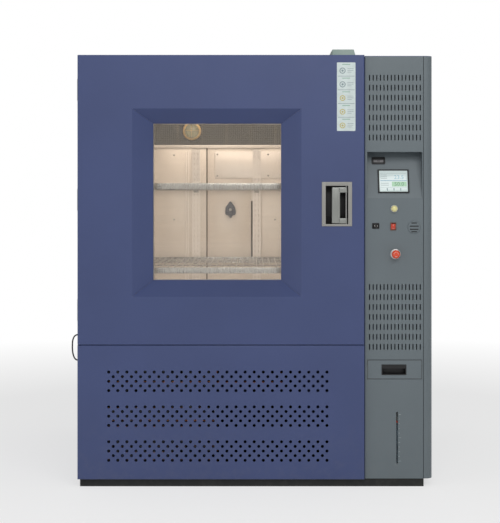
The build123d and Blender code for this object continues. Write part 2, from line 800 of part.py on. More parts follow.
def latch_bolt():
    x0 = latch_rest_x
    x1 = x0 + tongue_w
    bar_y0 = case_y0 + case_t + body_gap
    bar = span(case_x0 + case_t + latch_travel + 2, x1, bar_y0, bar_y0 + 16, latch_mid_z - 10, latch_mid_z + 10)
    tongue = span(x0, x1, bar_y0 + 15, door_back_y + tongue_out,
                  latch_mid_z - tongue_h / 2, latch_mid_z + tongue_h / 2)
    tongue = chamfer(tongue.edges().filter_by(Axis.Z).sort_by(Axis.Y)[-2:], 5)
    save("latch_bolt", bar + tongue)


knuckle_h = hinge_h / 3
knuckle_gap = 0.5


def knuckle(z, half):
    return rod_z(hinge_x, hinge_y, z - half, z + half, hinge_r)


def hinge_bore(z):
    return rod_z(hinge_x, hinge_y, z - hinge_h, z + hinge_h, hinge_pin_r + run_gap)


def door_hinge_leaves():
    leaves = []
    for z in hinge_heights:
        half = knuckle_h / 2 - knuckle_gap / 2
        leaf = span(left_x - hinge_leaf_t, left_x, hinge_y - 8 - hinge_leaf_w, hinge_y - 8,
                    z - hinge_h / 2, z + hinge_h / 2)
        leaf += span(left_x - hinge_leaf_t, left_x, hinge_y - 9, door_back_y, z - half, z + half)
        leaf += knuckle(z, half)
        leaves.append(leaf - hinge_bore(z))
    save("door_hinge_leaves", *leaves)


def cabinet_hinges():
    # Fixed leaves with two knuckles each, and a headed pin through all three
    pieces = []
    half = knuckle_h / 2 - knuckle_gap / 2
    for z in hinge_heights:
        leaf = span(left_x - hinge_leaf_t, left_x, hinge_y + 8, hinge_y + 8 + hinge_leaf_w,
                    z - hinge_h / 2, z + hinge_h / 2)
        for side in (-1, 1):
            mid = z + side * knuckle_h
            leaf += span(left_x - hinge_leaf_t, left_x, face_y, hinge_y + 9, mid - half, mid + half)
            leaf += knuckle(mid, half)
        pieces.append(leaf - hinge_bore(z))
        top = z + knuckle_h + half
        pin = rod_z(hinge_x, hinge_y, z - hinge_h / 2, top, hinge_pin_r)
        pieces.append(pin + rod_z(hinge_x, hinge_y, top, top + 4, hinge_pin_r + 2))
    save("cabinet_hinges", *pieces)


# Machine room

compressor_x = mouth_mid_x + 260
compressor_y = 60


def compressor():
    x = compressor_x
    y = compressor_y
    can = rod_z(x, y, 60, 310, 95) + rod_z(x, y, 309, 350, 72)
    foot = span(x - 110, x + 110, y - 80, y + 80, 53, 61)
    pads = [span(x + sx * 95 - 12, x + sx * 95 + 12, y + sy * 65 - 12, y + sy * 65 + 12, plinth_h, 53)
            for sx in (-1, 1) for sy in (-1, 1)]
    save("compressor", can + foot, *pads)


coil_w = 480.0
coil_y0 = front_y + 60
coil_y1 = coil_y0 + 50
coil_z1 = condenser_z + 215


def condenser_coil():
    x0 = condenser_x - coil_w / 2
    x1 = condenser_x + coil_w / 2
    block = span(x0, x1, coil_y0, coil_y1, plinth_h, coil_z1)
    fins = 16
    pitch = coil_w / fins
    for i in range(fins):
        x = x0 + pitch * (i + 0.5)
        block -= span(x - pitch * 0.3, x + pitch * 0.3, coil_y0 - 1, coil_y1 - 18, plinth_h + 40, coil_z1 - 15)
    save("condenser_coil", block)


spider_y0 = coil_y1 + 54
condenser_motor_y1 = spider_y0 + 62
condenser_shaft_r = 6.0


def condenser_shroud():
    x = condenser_x
    z = condenser_z
    r = condenser_fan_r + 6
    shroud = span(x - coil_w / 2, x + coil_w / 2, coil_y1, coil_y1 + 2, plinth_h, coil_z1)
    shroud += rod_y(x, coil_y1, spider_y0 + 4, z, r + 3)
    shroud -= rod_y(x, coil_y1 - 1, spider_y0 + 5, z, r)
    shroud += span(x - r - 2, x + r + 2, spider_y0, spider_y0 + 8, z - 15, z + 15)
    shroud += rod_y(x, spider_y0 + 4, condenser_motor_y1, z, 45)
    shroud -= rod_y(x, spider_y0 - 1, spider_y0 + 30, z, condenser_shaft_r + run_gap)
    save("condenser_shroud", shroud)


def condenser_fan():
    x = condenser_x
    z = condenser_z
    y0 = coil_y1 + 12
    y1 = coil_y1 + 42
    fan = rod_y(x, y0, y1, z, 32)
    fan += rod_y(x, y1 - 4, spider_y0 + 26, z, condenser_shaft_r)
    blades = 5
    for i in range(blades):
        blade = Pos(105, (y0 + y1) / 2, 0) * Rot(28, 0, 0) * Box(condenser_fan_r - 30, 3, 46)
        fan += Pos(x, 0, z) * Rot(0, 360 * i / blades, 0) * blade
    save("condenser_fan", fan)


def refrigerant_pipes():
    pipe_r = 6
    pipe_sides = 8
    x = compressor_x
    y = compressor_y
    coil_mid_y = (coil_y0 + coil_y1) / 2
    routes = [
        [(x, y, 350), (x, y, 420), (x, coil_mid_y, 420), (condenser_x + coil_w / 2, coil_mid_y, 420)],
        [(x - 50, y, 350), (x - 50, y, 400), (x - 50, y + 240, 400), (x - 50, y + 240, deck_z)],
    ]
    pipes = []
    for route in routes:
        pipe = Part()
        for start, end in zip(route, route[1:]):
            along = (Vector(*end) - Vector(*start)).normalized()
            reach = pipe_r if start != route[0] else 0
            plane = Plane(origin=Vector(*start) - along * reach, z_dir=along)
            length = (Vector(*end) - Vector(*start)).length + reach
            pipe += extrude(plane * RegularPolygon(pipe_r, pipe_sides, rotation=180 / pipe_sides), length)
        pipes.append(pipe)
    save("refrigerant_pipes", *pipes)


# Control column

tilt = math.degrees(math.atan2(recess_d, recess_h))
recess_x0 = recess_mid_x - recess_w / 2
recess_x1 = recess_mid_x + recess_w / 2
recess_z1 = recess_low_z + recess_h


def recess_plane(up, lift=0.0):
    # On the inclined plate: own y climbs the slope, own z comes out towards the user
    slope = math.radians(tilt)
    origin = Vector(0, column_y + skin + up * math.sin(slope), recess_low_z + up * math.cos(slope))
    normal = Vector(0, -math.cos(slope), math.sin(slope))
    return Plane(origin=origin + normal * lift, x_dir=(1, 0, 0), z_dir=normal)


def column_front_panel():
    x0 = column_x + seam / 2
    x1 = right_x - corner_band - seam / 2
    z1 = column_top - skin
    sheet = span(x0, x1, column_y, column_y + skin, plinth_h, z1)
    holes = Sketch()
    spots = []
    for top in (slots_high_z, slots_low_z):
        for row in range(slot_rows):
            for i in range(slots_across):
                spots.append((slots_mid_x + (i - (slots_across - 1) / 2) * slot_pitch, top - row * slot_row))
    holes += [Pos(x, z) * Rectangle(slot_w, slot_h) for x, z in spots]
    holes += Pos(recess_mid_x, recess_low_z + recess_h / 2) * Rectangle(recess_w, recess_h)
    holes += Pos(drawer_mid_x, drawer_mid_z) * Rectangle(drawer_w + 2 * drawer_gap, drawer_h + 2 * drawer_gap)
    holes += Pos(gauge_x, (gauge_low_z + gauge_high_z) / 2) * Rectangle(gauge_slot_w, gauge_high_z - gauge_low_z)
    holes += Pos(*black_switch_at) * Rectangle(black_switch[0] - 4, black_switch[1] - 4)
    holes += Pos(*red_switch_at) * Rectangle(red_switch[0] - 4, red_switch[1] - 4)
    holes += Pos(*lamp_at) * Circle(lamp_r - 2 + body_gap)
    holes += Pos(*stop_at) * Circle(stop_stem_r + 4)
    sheet -= extrude(front_plane(column_y + skin + 1) * holes, skin + 2)
    sheet += span(x0, x0 + skin, column_y + skin - 0.5, face_y, plinth_h, z1)
    sheet += span(x1 - skin, x1, column_y + skin - 0.5, column_y + 20, plinth_h, z1)
    save("column_front_panel", sheet)


def recess_wedge(inset, front, x0, x1):
    # The hollow of the recess, grown by inset: deep at the top, flush at the bottom
    y = column_y + skin
    profile = Polyline((x0, front, recess_low_z - inset), (x0, y + inset, recess_low_z - inset),
                       (x0, y + recess_d + inset, recess_z1 + inset), (x0, front, recess_z1 + inset), close=True)
    return extrude(make_face(profile), x1 - x0, dir=(1, 0, 0))


def control_recess():
    y = column_y + skin
    t = 2.0
    pan = recess_wedge(t, y, recess_x0 - t, recess_x1 + t)
    pan -= recess_wedge(0, y - 1, recess_x0, recess_x1)
    save("control_recess", pan)


def display_bezel():
    plane = recess_plane(bezel_up)
    bezel = extrude(plane * Pos(bezel_mid_x, 0) * Rectangle(bezel_w, bezel_h), bezel_t)
    front_edges = bezel.faces().sort_by(Axis.Y)[0].edges()
    bezel = chamfer(front_edges, 2)
    bezel -= extrude(recess_plane(bezel_up, bezel_t - 2) * Pos(bezel_mid_x, 0) * Rectangle(screen_w, screen_h), 3)
    save("display_bezel", bezel)


def touch_screen():
    plane = recess_plane(bezel_up, bezel_t - 2)
    save("touch_screen", extrude(plane * Pos(bezel_mid_x, 0) * Rectangle(screen_w - 0.4, screen_h - 0.4), 1.2))


def data_socket():
    plane = recess_plane(socket_up)
    frame = extrude(plane * Pos(socket_mid_x, 0) * RectangleRounded(socket_w, socket_h, 4), 4)
    frame -= extrude(recess_plane(socket_up, 1.5) * Pos(socket_mid_x, 0)
                     * RectangleRounded(socket_w - 10, socket_h - 12, 2), 3)
    save("data_socket", frame)


def pilot_lamp():
    y = column_y
    lamp = turned_y([(lamp_r - 2, y + 28), (lamp_r - 2, y), (lamp_r + 2, y), (lamp_r + 2, y - 4),
                     (lamp_r, y - 4), (lamp_r, y - 9), (lamp_r - 3, y - 14), (lamp_r - 8, y - 17)], *lamp_at)
    save("pilot_lamp", lamp)


def switch_frames():
    frames = []
    for (x, z), (w, h) in ((black_switch_at, black_switch), (red_switch_at, red_switch)):
        y = column_y
        frame = span(x - w / 2, x + w / 2, y - rim_w, y, z - h / 2, z + h / 2)
        frame += span(x - w / 2 + 2, x + w / 2 - 2, y - 1, y + 22, z - h / 2 + 2, z + h / 2 - 2)
        frame -= span(x - w / 2 + rim_w, x + w / 2 - rim_w, y - rim_w - 1, y + 18,
                      z - h / 2 + rim_w, z + h / 2 - rim_w)
        frames.append(frame)
    save("switch_frames", *frames)


def rocker(length, width):
    # Along X, pivoting on Y, its face towards +Z; one end stands out at rest
    face = rocker_pivot + rim_w - 1.5
    half = length / 2
    outline = Polyline((-half, 0, face), (-half * 0.3, 0, face + 0.8), (half * 0.3, 0, face + 0.8),
                       (half, 0, face), (half * 0.7, 0, -3), (-half * 0.7, 0, -3), close=True)
    body = extrude(make_face(outline), width / 2, dir=(0, 1, 0), both=True)
    return Rot(0, rocker_tilt, 0) * body


def rocker_pivot_y():
    return column_y + rocker_pivot


def lamp_rocker():
    x, z = black_switch_at
    body = rocker(black_switch[0] - 2 * rim_w - 3, black_switch[1] - 2 * rim_w - 2 * body_gap)
    save("lamp_rocker", Pos(x, rocker_pivot_y(), z) * Rot(90, 0, 0) * body)


def power_rocker():
    x, z = red_switch_at
    body = rocker(red_switch[1] - 2 * rim_w - 3, red_switch[0] - 2 * rim_w - 2 * body_gap)
    save("power_rocker", Pos(x, rocker_pivot_y(), z) * Rot(0, 90, 0) * Rot(90, 0, 0) * body)


def buzzer_grille():
    x, z = buzzer_at
    y = column_y
    disc = turned_y([(buzzer_r, y), (buzzer_r, y - 2), (buzzer_r - 3, y - 4)], x, z)
    for dz, half in ((18, 12), (5, 19), (-8, 18), (-18, 12)):
        disc -= span(x - half, x + half, y - 5, y + 1, z + dz - 2.5, z + dz + 2.5)
    save("buzzer_grille", disc)


stop_head_back = column_y - 5 - stop_travel - 2


def estop_collar():
    # A round collar on the panel and the contact block behind it
    x, z = stop_at
    y = column_y
    bore = stop_stem_r + body_gap
    collar = turned_y([(stop_stem_r + 3.5, y + 12.5), (stop_stem_r + 3.5, y), (stop_collar_r, y),
                       (stop_collar_r, y - 3), (stop_collar_r - 2, y - 5)], x, z)
    collar += span(x - 15, x + 15, y + 12, y + 50, z - 20, z + 20)
    collar -= rod_y(x, y - 6, y + 40, z, bore)
    save("estop_collar", collar)


def estop_stem():
    x, z = stop_at
    save("estop_stem", rod_y(x, stop_head_back - 8, column_y + 30, z, stop_stem_r))


def estop_head():
    x, z = stop_at
    y = stop_head_back
    head = turned_y([(12, y), (stop_r, y - 5), (stop_r, y - 12), (stop_r - 4, y - 17),
                     (stop_r - 10, y - 20)], x, z)
    head -= rod_y(x, y - 8.2, y + 1, z, stop_stem_r + run_gap)
    save("estop_head", head)


def electrical_panel():
    plate = span(column_x, column_x + 2, -420, 420, 760, 1600)
    pieces = [plate]
    for z in (900, 1150, 1400):
        pieces.append(span(column_x + 2, column_x + 9, -400, 400, z - 17, z + 17))
        for i in range(3):
            y = -360 + 270 * i
            pieces.append(span(column_x + 9, column_x + 85, y, y + 150, z - 45, z + 45))
    save("electrical_panel", *pieces)


# Water drawer, its sleeve, the tank and the level gauge

tray_x0 = drawer_mid_x - drawer_w / 2 + 7
tray_x1 = drawer_mid_x + drawer_w / 2 - 7
tray_z0 = drawer_mid_z - drawer_h / 2 + 5
drawer_y = column_y - 1
pull_x0 = drawer_mid_x - pull_w / 2 - 3
pull_x1 = pull_x0 + pull_w
pull_z0 = drawer_mid_z - pull_h / 2 - 1
pull_z1 = pull_z0 + pull_h


def water_drawer():
    x0 = drawer_mid_x - drawer_w / 2
    x1 = drawer_mid_x + drawer_w / 2
    z0 = drawer_mid_z - drawer_h / 2
    z1 = drawer_mid_z + drawer_h / 2
    front = span(x0, x1, drawer_y, drawer_y + skin, z0, z1)
    tray = span(tray_x0, tray_x1, drawer_y + skin - 0.5, drawer_y + tray_depth, tray_z0, tray_z0 + tray_h)
    tray -= span(tray_x0 + skin, tray_x1 - skin, drawer_y + skin, drawer_y + tray_depth - skin,
                 tray_z0 + skin, tray_z0 + tray_h + 1)
    drawer = front + tray
    drawer -= span(pull_x0 + 2, pull_x1 - 2, drawer_y - 1, drawer_y + skin + 1, pull_z0 + 2, pull_z1 - 2)
    save("water_drawer", drawer)


def drawer_pull():
    # A flush pull: a cup let into the drawer front with a lip over its upper half
    y = drawer_y
    cup = span(pull_x0, pull_x1, y - 2, y, pull_z0, pull_z1)
    cup += span(pull_x0 + 2.2, pull_x1 - 2.2, y - 1, y + pull_d, pull_z0 + 2.2, pull_z1 - 2.2)
    cup -= span(pull_x0 + 4, pull_x1 - 4, y - 3, y + pull_d - 2, pull_z0 + 4, pull_z1 - 4)
    cup += span(pull_x0 + 3, pull_x1 - 3, y - 2, y, pull_z0 + pull_h * 0.62, pull_z1 - 3)
    save("drawer_pull", cup)


def drawer_sleeve():
    x0 = drawer_mid_x - drawer_w / 2 - 1
    x1 = drawer_mid_x + drawer_w / 2 + 1
    z0 = drawer_mid_z - drawer_h / 2 - 3
    z1 = drawer_mid_z + drawer_h / 2 + 3
    y0 = column_y + skin
    y1 = y0 + tray_depth + 20
    t = 1.5
    sleeve = span(x0, x1, y0, y1, z0, z1)
    sleeve -= span(x0 + t, x1 - t, y0 - 1, y1 + 1, z0 + t, z1 - t)
    for a in (tray_x0, tray_x1 - 18):
        sleeve += span(a, a + 18, y0 + 1, y1, z0 + t - 0.5, tray_z0 - body_gap)
    save("drawer_sleeve", sleeve)


tank_y0 = column_y + 40


def water_tank():
    tank = span(column_x + 30, column_x + 220, tank_y0, tank_y0 + 320, plinth_h, 400)
    tank = chamfer(tank.edges().filter_by(Axis.Z), 10)
    tank += rod_z(column_x + 125, tank_y0 + 160, 399, 416, 30)
    save("water_tank", tank)


def level_gauge():
    y = column_y + skin + 1 + gauge_r
    tube = rod_z(gauge_x, y, gauge_low_z - 4, gauge_high_z + 4, gauge_r)
    for z in (gauge_low_z - 9, gauge_high_z + 9):
        tube += span(gauge_x - 7, gauge_x + 7, y - gauge_r, tank_y0, z - 6, z + 6)
    save("level_gauge", tube)


# Cable cover on the roof, glands and the cable loop at the left side

def cable_cover():
    x0, x1 = column_x - 115, column_x - 5
    y0, y1 = -400, 100
    slope = 17
    high = 57

    def profile(inset, z0):
        return Polyline((x0 + inset, y0, z0), (x0 + inset, y0, body_h + high - inset),
                        (x1 - slope - inset, y0, body_h + high - inset), (x1 - inset * 1.3, y0, z0), close=True)
    cover = extrude(make_face(profile(0, body_h)), y1 - y0, dir=(0, 1, 0))
    room = extrude(make_face(profile(1.5, body_h - 1)), y1 - y0 - 3, dir=(0, 1, 0))
    cover -= room.translate((0, 1.5, 0))
    save("cable_cover", cover)


cable_d = 6.0
gland_out = 8.0
loop_y = -550.0
# The loop's route as (x outwards from the side, y, z)
loop_points = [
    (8, -550, 612), (22, -550, 612), (33, -551, 605), (39.5, -552, 590), (41, -552, 570),
    (41, -552, 547), (37.5, -552, 525), (30.5, -551, 509.5), (19.5, -550, 503), (8, -550, 503),
]


def loop_route():
    return [Vector(left_x - out, y, z) for out, y, z in loop_points]


def loop_radii(points):
    radii = []
    for a, b, c in zip(points, points[1:], points[2:]):
        shorter = min((b - a).length, (c - b).length)
        half_turn = math.radians((b - a).get_angle(c - b)) / 2
        radii.append(0.45 * shorter / math.tan(half_turn))
    return radii


def cable_loop():
    points = loop_route()
    radii = loop_radii(points)
    print("cable loop radii:", [round(r, 1) for r in radii])
    path = FilletPolyline(*points, radius=radii)
    tube = sweep(Plane(origin=path @ 0, z_dir=path % 0) * Circle(cable_d / 2), path=path)
    print("cable loop length:", round(path.length, 1),
          "volume over section times length:",
          round(tube.volume / (path.length * math.pi * cable_d ** 2 / 4), 4))
    save("cable_loop", tube)


def cable_glands():
    pieces = []
    for point in (loop_route()[0], loop_route()[-1]):
        pieces.append(rod_x(left_x - gland_out, left_x, point.Y, point.Z, 9))
    inlet = rod_y(inlet_x, back_y - skin - 12, back_y + 22, inlet_z, inlet_r - 0.5)
    inlet += rod_y(inlet_x, back_y, back_y + 8, inlet_z, inlet_r + 6)
    inlet -= rod_y(inlet_x, back_y + 2, back_y + 23, inlet_z, 9)
    save("cable_glands", *pieces, inlet)


for make in (base_frame, side_and_rear_panels, roof_panels, column_side_panel, lower_front_panel,
             chamber_casing, chamber_insulation, chamber_liner, latch_keeper, air_baffle, air_outlet_grille,
             heater_coil, evaporator_coil, circulation_fan, circulation_motor, shelf_standards, shelves,
             chamber_lamp, air_probe, port_sleeve, port_plug, door_shell, window_bevel, window_panes,
             window_spacers, door_insulation, door_inner_skin, door_gasket, handle_pocket, handle_lever,
             latch_bolt, door_hinge_leaves, cabinet_hinges, compressor, condenser_coil, condenser_shroud,
             condenser_fan, refrigerant_pipes, column_front_panel, control_recess, display_bezel,
             touch_screen, data_socket, pilot_lamp, switch_frames, lamp_rocker, power_rocker,
             buzzer_grille, estop_collar, estop_stem, estop_head, electrical_panel, water_drawer,
             drawer_pull, drawer_sleeve, water_tank, level_gauge, cable_cover, cable_loop, cable_glands):
    make()
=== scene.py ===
import math

import bmesh
import bpy
from mathutils import Matrix, Vector


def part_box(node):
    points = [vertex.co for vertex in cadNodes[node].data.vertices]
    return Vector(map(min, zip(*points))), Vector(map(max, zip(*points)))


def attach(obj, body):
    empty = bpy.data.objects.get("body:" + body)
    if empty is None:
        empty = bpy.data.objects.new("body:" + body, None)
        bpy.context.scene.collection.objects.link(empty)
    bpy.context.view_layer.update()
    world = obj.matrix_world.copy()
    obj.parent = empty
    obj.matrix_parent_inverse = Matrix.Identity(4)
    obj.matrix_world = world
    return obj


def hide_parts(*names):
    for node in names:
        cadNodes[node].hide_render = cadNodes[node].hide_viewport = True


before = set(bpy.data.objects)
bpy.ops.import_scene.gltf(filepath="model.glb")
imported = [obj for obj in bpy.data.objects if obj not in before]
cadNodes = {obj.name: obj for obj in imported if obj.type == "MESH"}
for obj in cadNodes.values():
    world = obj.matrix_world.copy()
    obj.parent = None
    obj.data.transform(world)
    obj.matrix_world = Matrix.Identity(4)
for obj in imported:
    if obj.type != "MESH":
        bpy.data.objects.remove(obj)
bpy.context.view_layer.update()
print("frame loaded with", len(cadNodes), "nodes")

# Planes of the cabinet that many pieces sit on, in metres
frontY = -0.700
columnY = -0.680
baffleY = 0.403
leftX = -0.730
rightX = 0.730
backY = 0.700
mouth = {"x0": -0.640, "x1": 0.360, "z0": 0.681, "z1": 1.681}
# Turns that point a small piece's own z another way
toFront = (math.pi / 2, 0, 0)
toRear = (-math.pi / 2, 0, 0)
toLeft = (0, -math.pi / 2, 0)
toRight = (0, math.pi / 2, 0)

# Where the picture is taken from
shot = {"x": -0.013, "eyeHeight": 1.192, "distance": 5.25, "lens": 88.1, "shiftX": -0.004,
        "shiftY": -0.1233}


def linked(name, data):
    # a new object of the scene
    piece = bpy.data.objects.new(name, data)
    bpy.context.scene.collection.objects.link(piece)
    return piece


def placeCamera():
    lens = bpy.data.cameras.new("camera")
    lens.lens = shot["lens"]
    lens.shift_x = shot["shiftX"]
    lens.shift_y = shot["shiftY"]
    eye = linked("camera", lens)
    eye.location = (shot["x"], frontY - shot["distance"], shot["eyeHeight"])
    eye.rotation_euler = (math.radians(90), 0, 0)
    bpy.context.scene.camera = eye


class Wire:
    # a socket that takes part in sums, in material and geometry trees alike
    def __init__(self, graph, socket):
        self.graph = graph
        self.socket = socket

    def maths(self, operation, first, second=0.0, clamp=False):
        settings = {"operation": operation, "use_clamp": clamp}
        return self.graph.out("ShaderNodeMath", settings, {0: first, 1: second})

    def __add__(self, other):
        return self.maths("ADD", self, other)

    def __radd__(self, other):
        return self.maths("ADD", other, self)

    def __sub__(self, other):
        return self.maths("SUBTRACT", self, other)

    def __rsub__(self, other):
        return self.maths("SUBTRACT", other, self)

    def __mul__(self, other):
        return self.maths("MULTIPLY", self, other)

    def __rmul__(self, other):
        return self.maths("MULTIPLY", other, self)

    def __truediv__(self, other):
        return self.maths("DIVIDE", self, other)

    def __mod__(self, other):
        return self.maths("FLOORED_MODULO", self, other)

    def above(self, limit):
        return self.maths("GREATER_THAN", self, limit)

    def floor(self):
        return self.maths("FLOOR", self)

    def limited(self):
        return self.maths("ADD", self, 0.0, clamp=True)


class Graph:
    # adds nodes to a tree: a type, its settings, and the values or links of its inputs
    def __init__(self, tree):
        self.tree = tree

    def add(self, kind, settings=None, inputs=None):
        node = self.tree.nodes.new(kind)
        for key, value in (settings or {}).items():
            setattr(node, key, value)
        for key, value in (inputs or {}).items():
            self.feed(node.inputs[key], value)
        return node

    def feed(self, socket, value):
        if isinstance(value, Wire):
            self.tree.links.new(value.socket, socket)
        elif socket.type == "RGBA" and len(value) == 3:
            socket.default_value = (*value, 1)
        else:
            socket.default_value = value

    def out(self, kind, settings=None, inputs=None, output=0):
        return Wire(self, self.add(kind, settings, inputs).outputs[output])


class Finish(Graph):
    # a material: its patterns are in metres, on Object coordinates
    def __init__(self, name):
        self.material = bpy.data.materials.new(name)
        self.material.use_nodes = True
        super().__init__(self.material.node_tree)
        self.shader = self.tree.nodes["Principled BSDF"]
        self.place = self.out("ShaderNodeTexCoord", output="Object")
        self.z = self.out("ShaderNodeSeparateXYZ", None, {0: self.place}, 2)

    def noise(self, size, detail=2.0, rough=0.5, stretch=(1, 1, 1)):
        spot = self.out("ShaderNodeMapping", None,
                        {"Vector": self.place, "Scale": tuple(s / size for s in stretch)})
        return self.out("ShaderNodeTexNoise", None,
                        {"Vector": spot, "Scale": 1.0, "Detail": detail, "Roughness": rough})

    def cells(self, size):
        spot = self.out("ShaderNodeMapping", None, {"Vector": self.place, "Scale": (1 / size,) * 3})
        return self.out("ShaderNodeTexVoronoi", {"feature": "F1"}, {"Vector": spot, "Scale": 1.0})

    def ramp(self, wire, low, high):
        # 0 below low, 1 above high
        return self.out("ShaderNodeMapRange", None, {"Value": wire, "From Min": low, "From Max": high})

    def mix(self, factor, first, second):
        return self.out("ShaderNodeMix", {"data_type": "RGBA", "blend_type": "MIX"},
                        {0: factor, 6: first, 7: second}, 2)

    def toned(self, colour, wave, amount):
        # the colour, darker where the wave is low and lighter where it is high
        dark = tuple(c * (1 - amount) for c in colour)
        light = tuple(min(1.0, c * (1 + amount)) for c in colour)
        return self.mix(wave, dark, light)

    def bump(self, height, depth, strength=1.0, over=None):
        inputs = {"Height": height, "Distance": depth, "Strength": strength}
        if over:
            inputs["Normal"] = over
        return self.out("ShaderNodeBump", None, inputs)

    def dress(self, values):
        for name, value in values.items():
            self.feed(self.shader.inputs[name], value)
        return self.material


def shade(red, green, blue):
    # a colour as a screen shows it, 0 to 255, made linear
    def linear(c):
        c = c / 255
        return c / 12.92 if c <= 0.04045 else ((c + 0.055) / 1.055) ** 2.4
    return tuple(linear(c) for c in (red, green, blue))


def powderCoat(name, colour, roughness=0.42, peel=0.5, mottle=0.05, dusty=0.0):
    # baked paint on sheet: fine orange peel, faint clouds, and dust towards the floor
    f = Finish(name)
    cloud = f.noise(0.35, 3.0)
    grain = f.noise(0.0016, 1.0)
    fine = f.noise(0.0006, 1.0)
    base = f.toned(colour, f.ramp(cloud, 0.3, 0.7), mottle)
    base = f.mix(f.ramp(grain, 0.35, 0.75) * 0.25, base, tuple(c * 0.8 for c in colour))
    if dusty:
        low = 1 - f.ramp(f.z, 0.0, 0.35)
        patch = f.ramp(f.noise(0.03, 4.0, 0.65), 0.45, 0.8)
        base = f.mix((low * patch * dusty).limited(), base, shade(140, 136, 128))
    rough = f.ramp(f.noise(0.12, 4.0, 0.6), 0.2, 0.8) * 0.12 + (roughness - 0.06)
    peelBump = f.bump(grain, 0.00035, peel)
    return f.dress({"Base Color": base, "Roughness": rough,
                    "Normal": f.bump(fine, 0.0001, 0.35, peelBump)})


def brushedMetal(name, colour, roughness=0.3, along="x", metallic=1.0, streak=0.16, smudge=0.0):
    # sheet metal brushed along one axis
    f = Finish(name)
    stretch = {"x": (0.02, 1, 1), "y": (1, 0.02, 1), "z": (1, 1, 0.02)}[along]
    fine = f.noise(0.0012, 2.0, 0.6, stretch)
    wide = f.noise(0.012, 3.0, 0.6, stretch)
    base = f.toned(colour, f.ramp(fine * 0.5 + wide * 0.5, 0.3, 0.7), streak)
    rough = f.ramp(fine, 0.2, 0.8) * 0.08 + (roughness - 0.04)
    if smudge:
        touched = f.ramp(f.noise(0.09, 4.0, 0.62), 0.5, 0.72)
        rough = rough + touched * smudge
        base = f.mix(touched * smudge, base, tuple(c * 0.72 for c in colour))
    return f.dress({"Base Color": base, "Roughness": rough, "Metallic": metallic,
                    "Normal": f.bump(fine, 0.0002, 0.15)})


def zincSheet(name, colour):
    # galvanised sheet with its spangle
    f = Finish(name)
    spangle = f.out("ShaderNodeTexVoronoi", None,
                    {"Vector": f.place, "Scale": 70.0}, "Color")
    flake = f.out("ShaderNodeSeparateColor", None, {0: spangle})
    base = f.toned(colour, flake, 0.16)
    rough = flake * 0.16 + 0.34
    return f.dress({"Base Color": base, "Roughness": rough, "Metallic": 0.9,
                    "Normal": f.bump(f.noise(0.004, 2.0), 0.0002, 0.3)})


def moulded(name, colour, roughness=0.45, grain=0.4, coat=0.0, sizeOfGrain=0.0007):
    # injection-moulded plastic with a spark-eroded grain
    f = Finish(name)
    speck = f.cells(sizeOfGrain)
    cloud = f.noise(0.02, 3.0)
    base = f.toned(colour, f.ramp(cloud, 0.25, 0.75), 0.07)
    rough = f.ramp(f.noise(0.006, 3.0), 0.2, 0.8) * 0.1 + (roughness - 0.05)
    return f.dress({"Base Color": base, "Roughness": rough, "Coat Weight": coat,
                    "Normal": f.bump(speck, 0.00012, grain)})


def rubber(name, colour, roughness=0.62):
    f = Finish(name)
    bloom = f.ramp(f.noise(0.018, 4.0, 0.65), 0.45, 0.8)
    base = f.mix(bloom * 0.25, colour, tuple(c + 0.05 for c in colour))
    return f.dress({"Base Color": base, "Roughness": bloom * 0.12 + (roughness - 0.04),
                    "Normal": f.bump(f.noise(0.0009, 2.0), 0.00015, 0.5)})


def foamBoard(name, colour):
    f = Finish(name)
    pores = f.cells(0.0035)
    base = f.toned(colour, f.ramp(f.noise(0.05, 4.0), 0.3, 0.7), 0.14)
    base = f.mix((pores * 0.5).limited(), base, tuple(c * 0.72 for c in colour))
    return f.dress({"Base Color": base, "Roughness": 0.92, "Normal": f.bump(pores, 0.0008, 0.7)})


def clearGlass(name, tint, roughness=0.0):
    f = Finish(name)
    haze = f.ramp(f.noise(0.16, 4.0, 0.6), 0.5, 0.9)
    return f.dress({"Base Color": tint, "Roughness": haze * 0.03 + roughness, "IOR": 1.42,
                    "Transmission Weight": 1.0})


# Colours of the cabinet, as a screen shows them
paints = {"blue": (66, 79, 124), "grey": (108, 118, 123), "black": (13, 17, 15), "cover": (163, 182, 172),
          "handleFrame": (158, 157, 152), "lever": (150, 152, 148)}

bluePaint = powderCoat("bluePaint", shade(*paints["blue"]), roughness=0.44, dusty=0.10)
greyPaint = powderCoat("greyPaint", shade(*paints["grey"]), roughness=0.5, peel=0.7, dusty=0.10)
blackPaint = powderCoat("blackPaint", shade(*paints["black"]), roughness=0.6, dusty=0.08)
coverPaint = powderCoat("coverPaint", shade(*paints["cover"]), roughness=0.46)
framePaint = powderCoat("framePaint", shade(*paints["handleFrame"]), roughness=0.4, peel=0.3)
stainless = brushedMetal("stainless", shade(220, 214, 207), 0.34, "x", metallic=0.5, streak=0.06,
                         smudge=0.15)
# Stainless brushed along z, made brighter than the liner: painted highlight on the shelf channels, the
# baffle beads and cover, and the outlet's lower rim
stainlessUpright = brushedMetal("stainlessUpright", shade(232, 228, 224), 0.36, "z", metallic=0.5,
                                streak=0.035)
brightSteel = brushedMetal("brightSteel", shade(178, 178, 176), 0.28, "z")
leverMetal = brushedMetal("leverMetal", shade(*paints["lever"]), 0.36, "z", metallic=0.85)
aluminium = brushedMetal("aluminium", shade(202, 203, 204), 0.36, "x", metallic=0.9)
darkMesh = brushedMetal("darkMesh", shade(112, 106, 94), 0.42, "x", metallic=0.6)
galvanised = zincSheet("galvanised", shade(172, 175, 175))
copper = brushedMetal("copper", shade(205, 128, 88), 0.32, "z", smudge=0.3)
foam = foamBoard("foam", shade(214, 196, 142))
paneGlass = clearGlass("paneGlass", shade(250, 248, 245))
gaugeClear = clearGlass("gaugeClear", shade(220, 230, 234), 0.05)
sealRubber = rubber("sealRubber", shade(44, 44, 44))
plugRubber = rubber("plugRubber", shade(196, 190, 180), 0.55)
cableRubber = rubber("cableRubber", shade(27, 27, 29), 0.5)
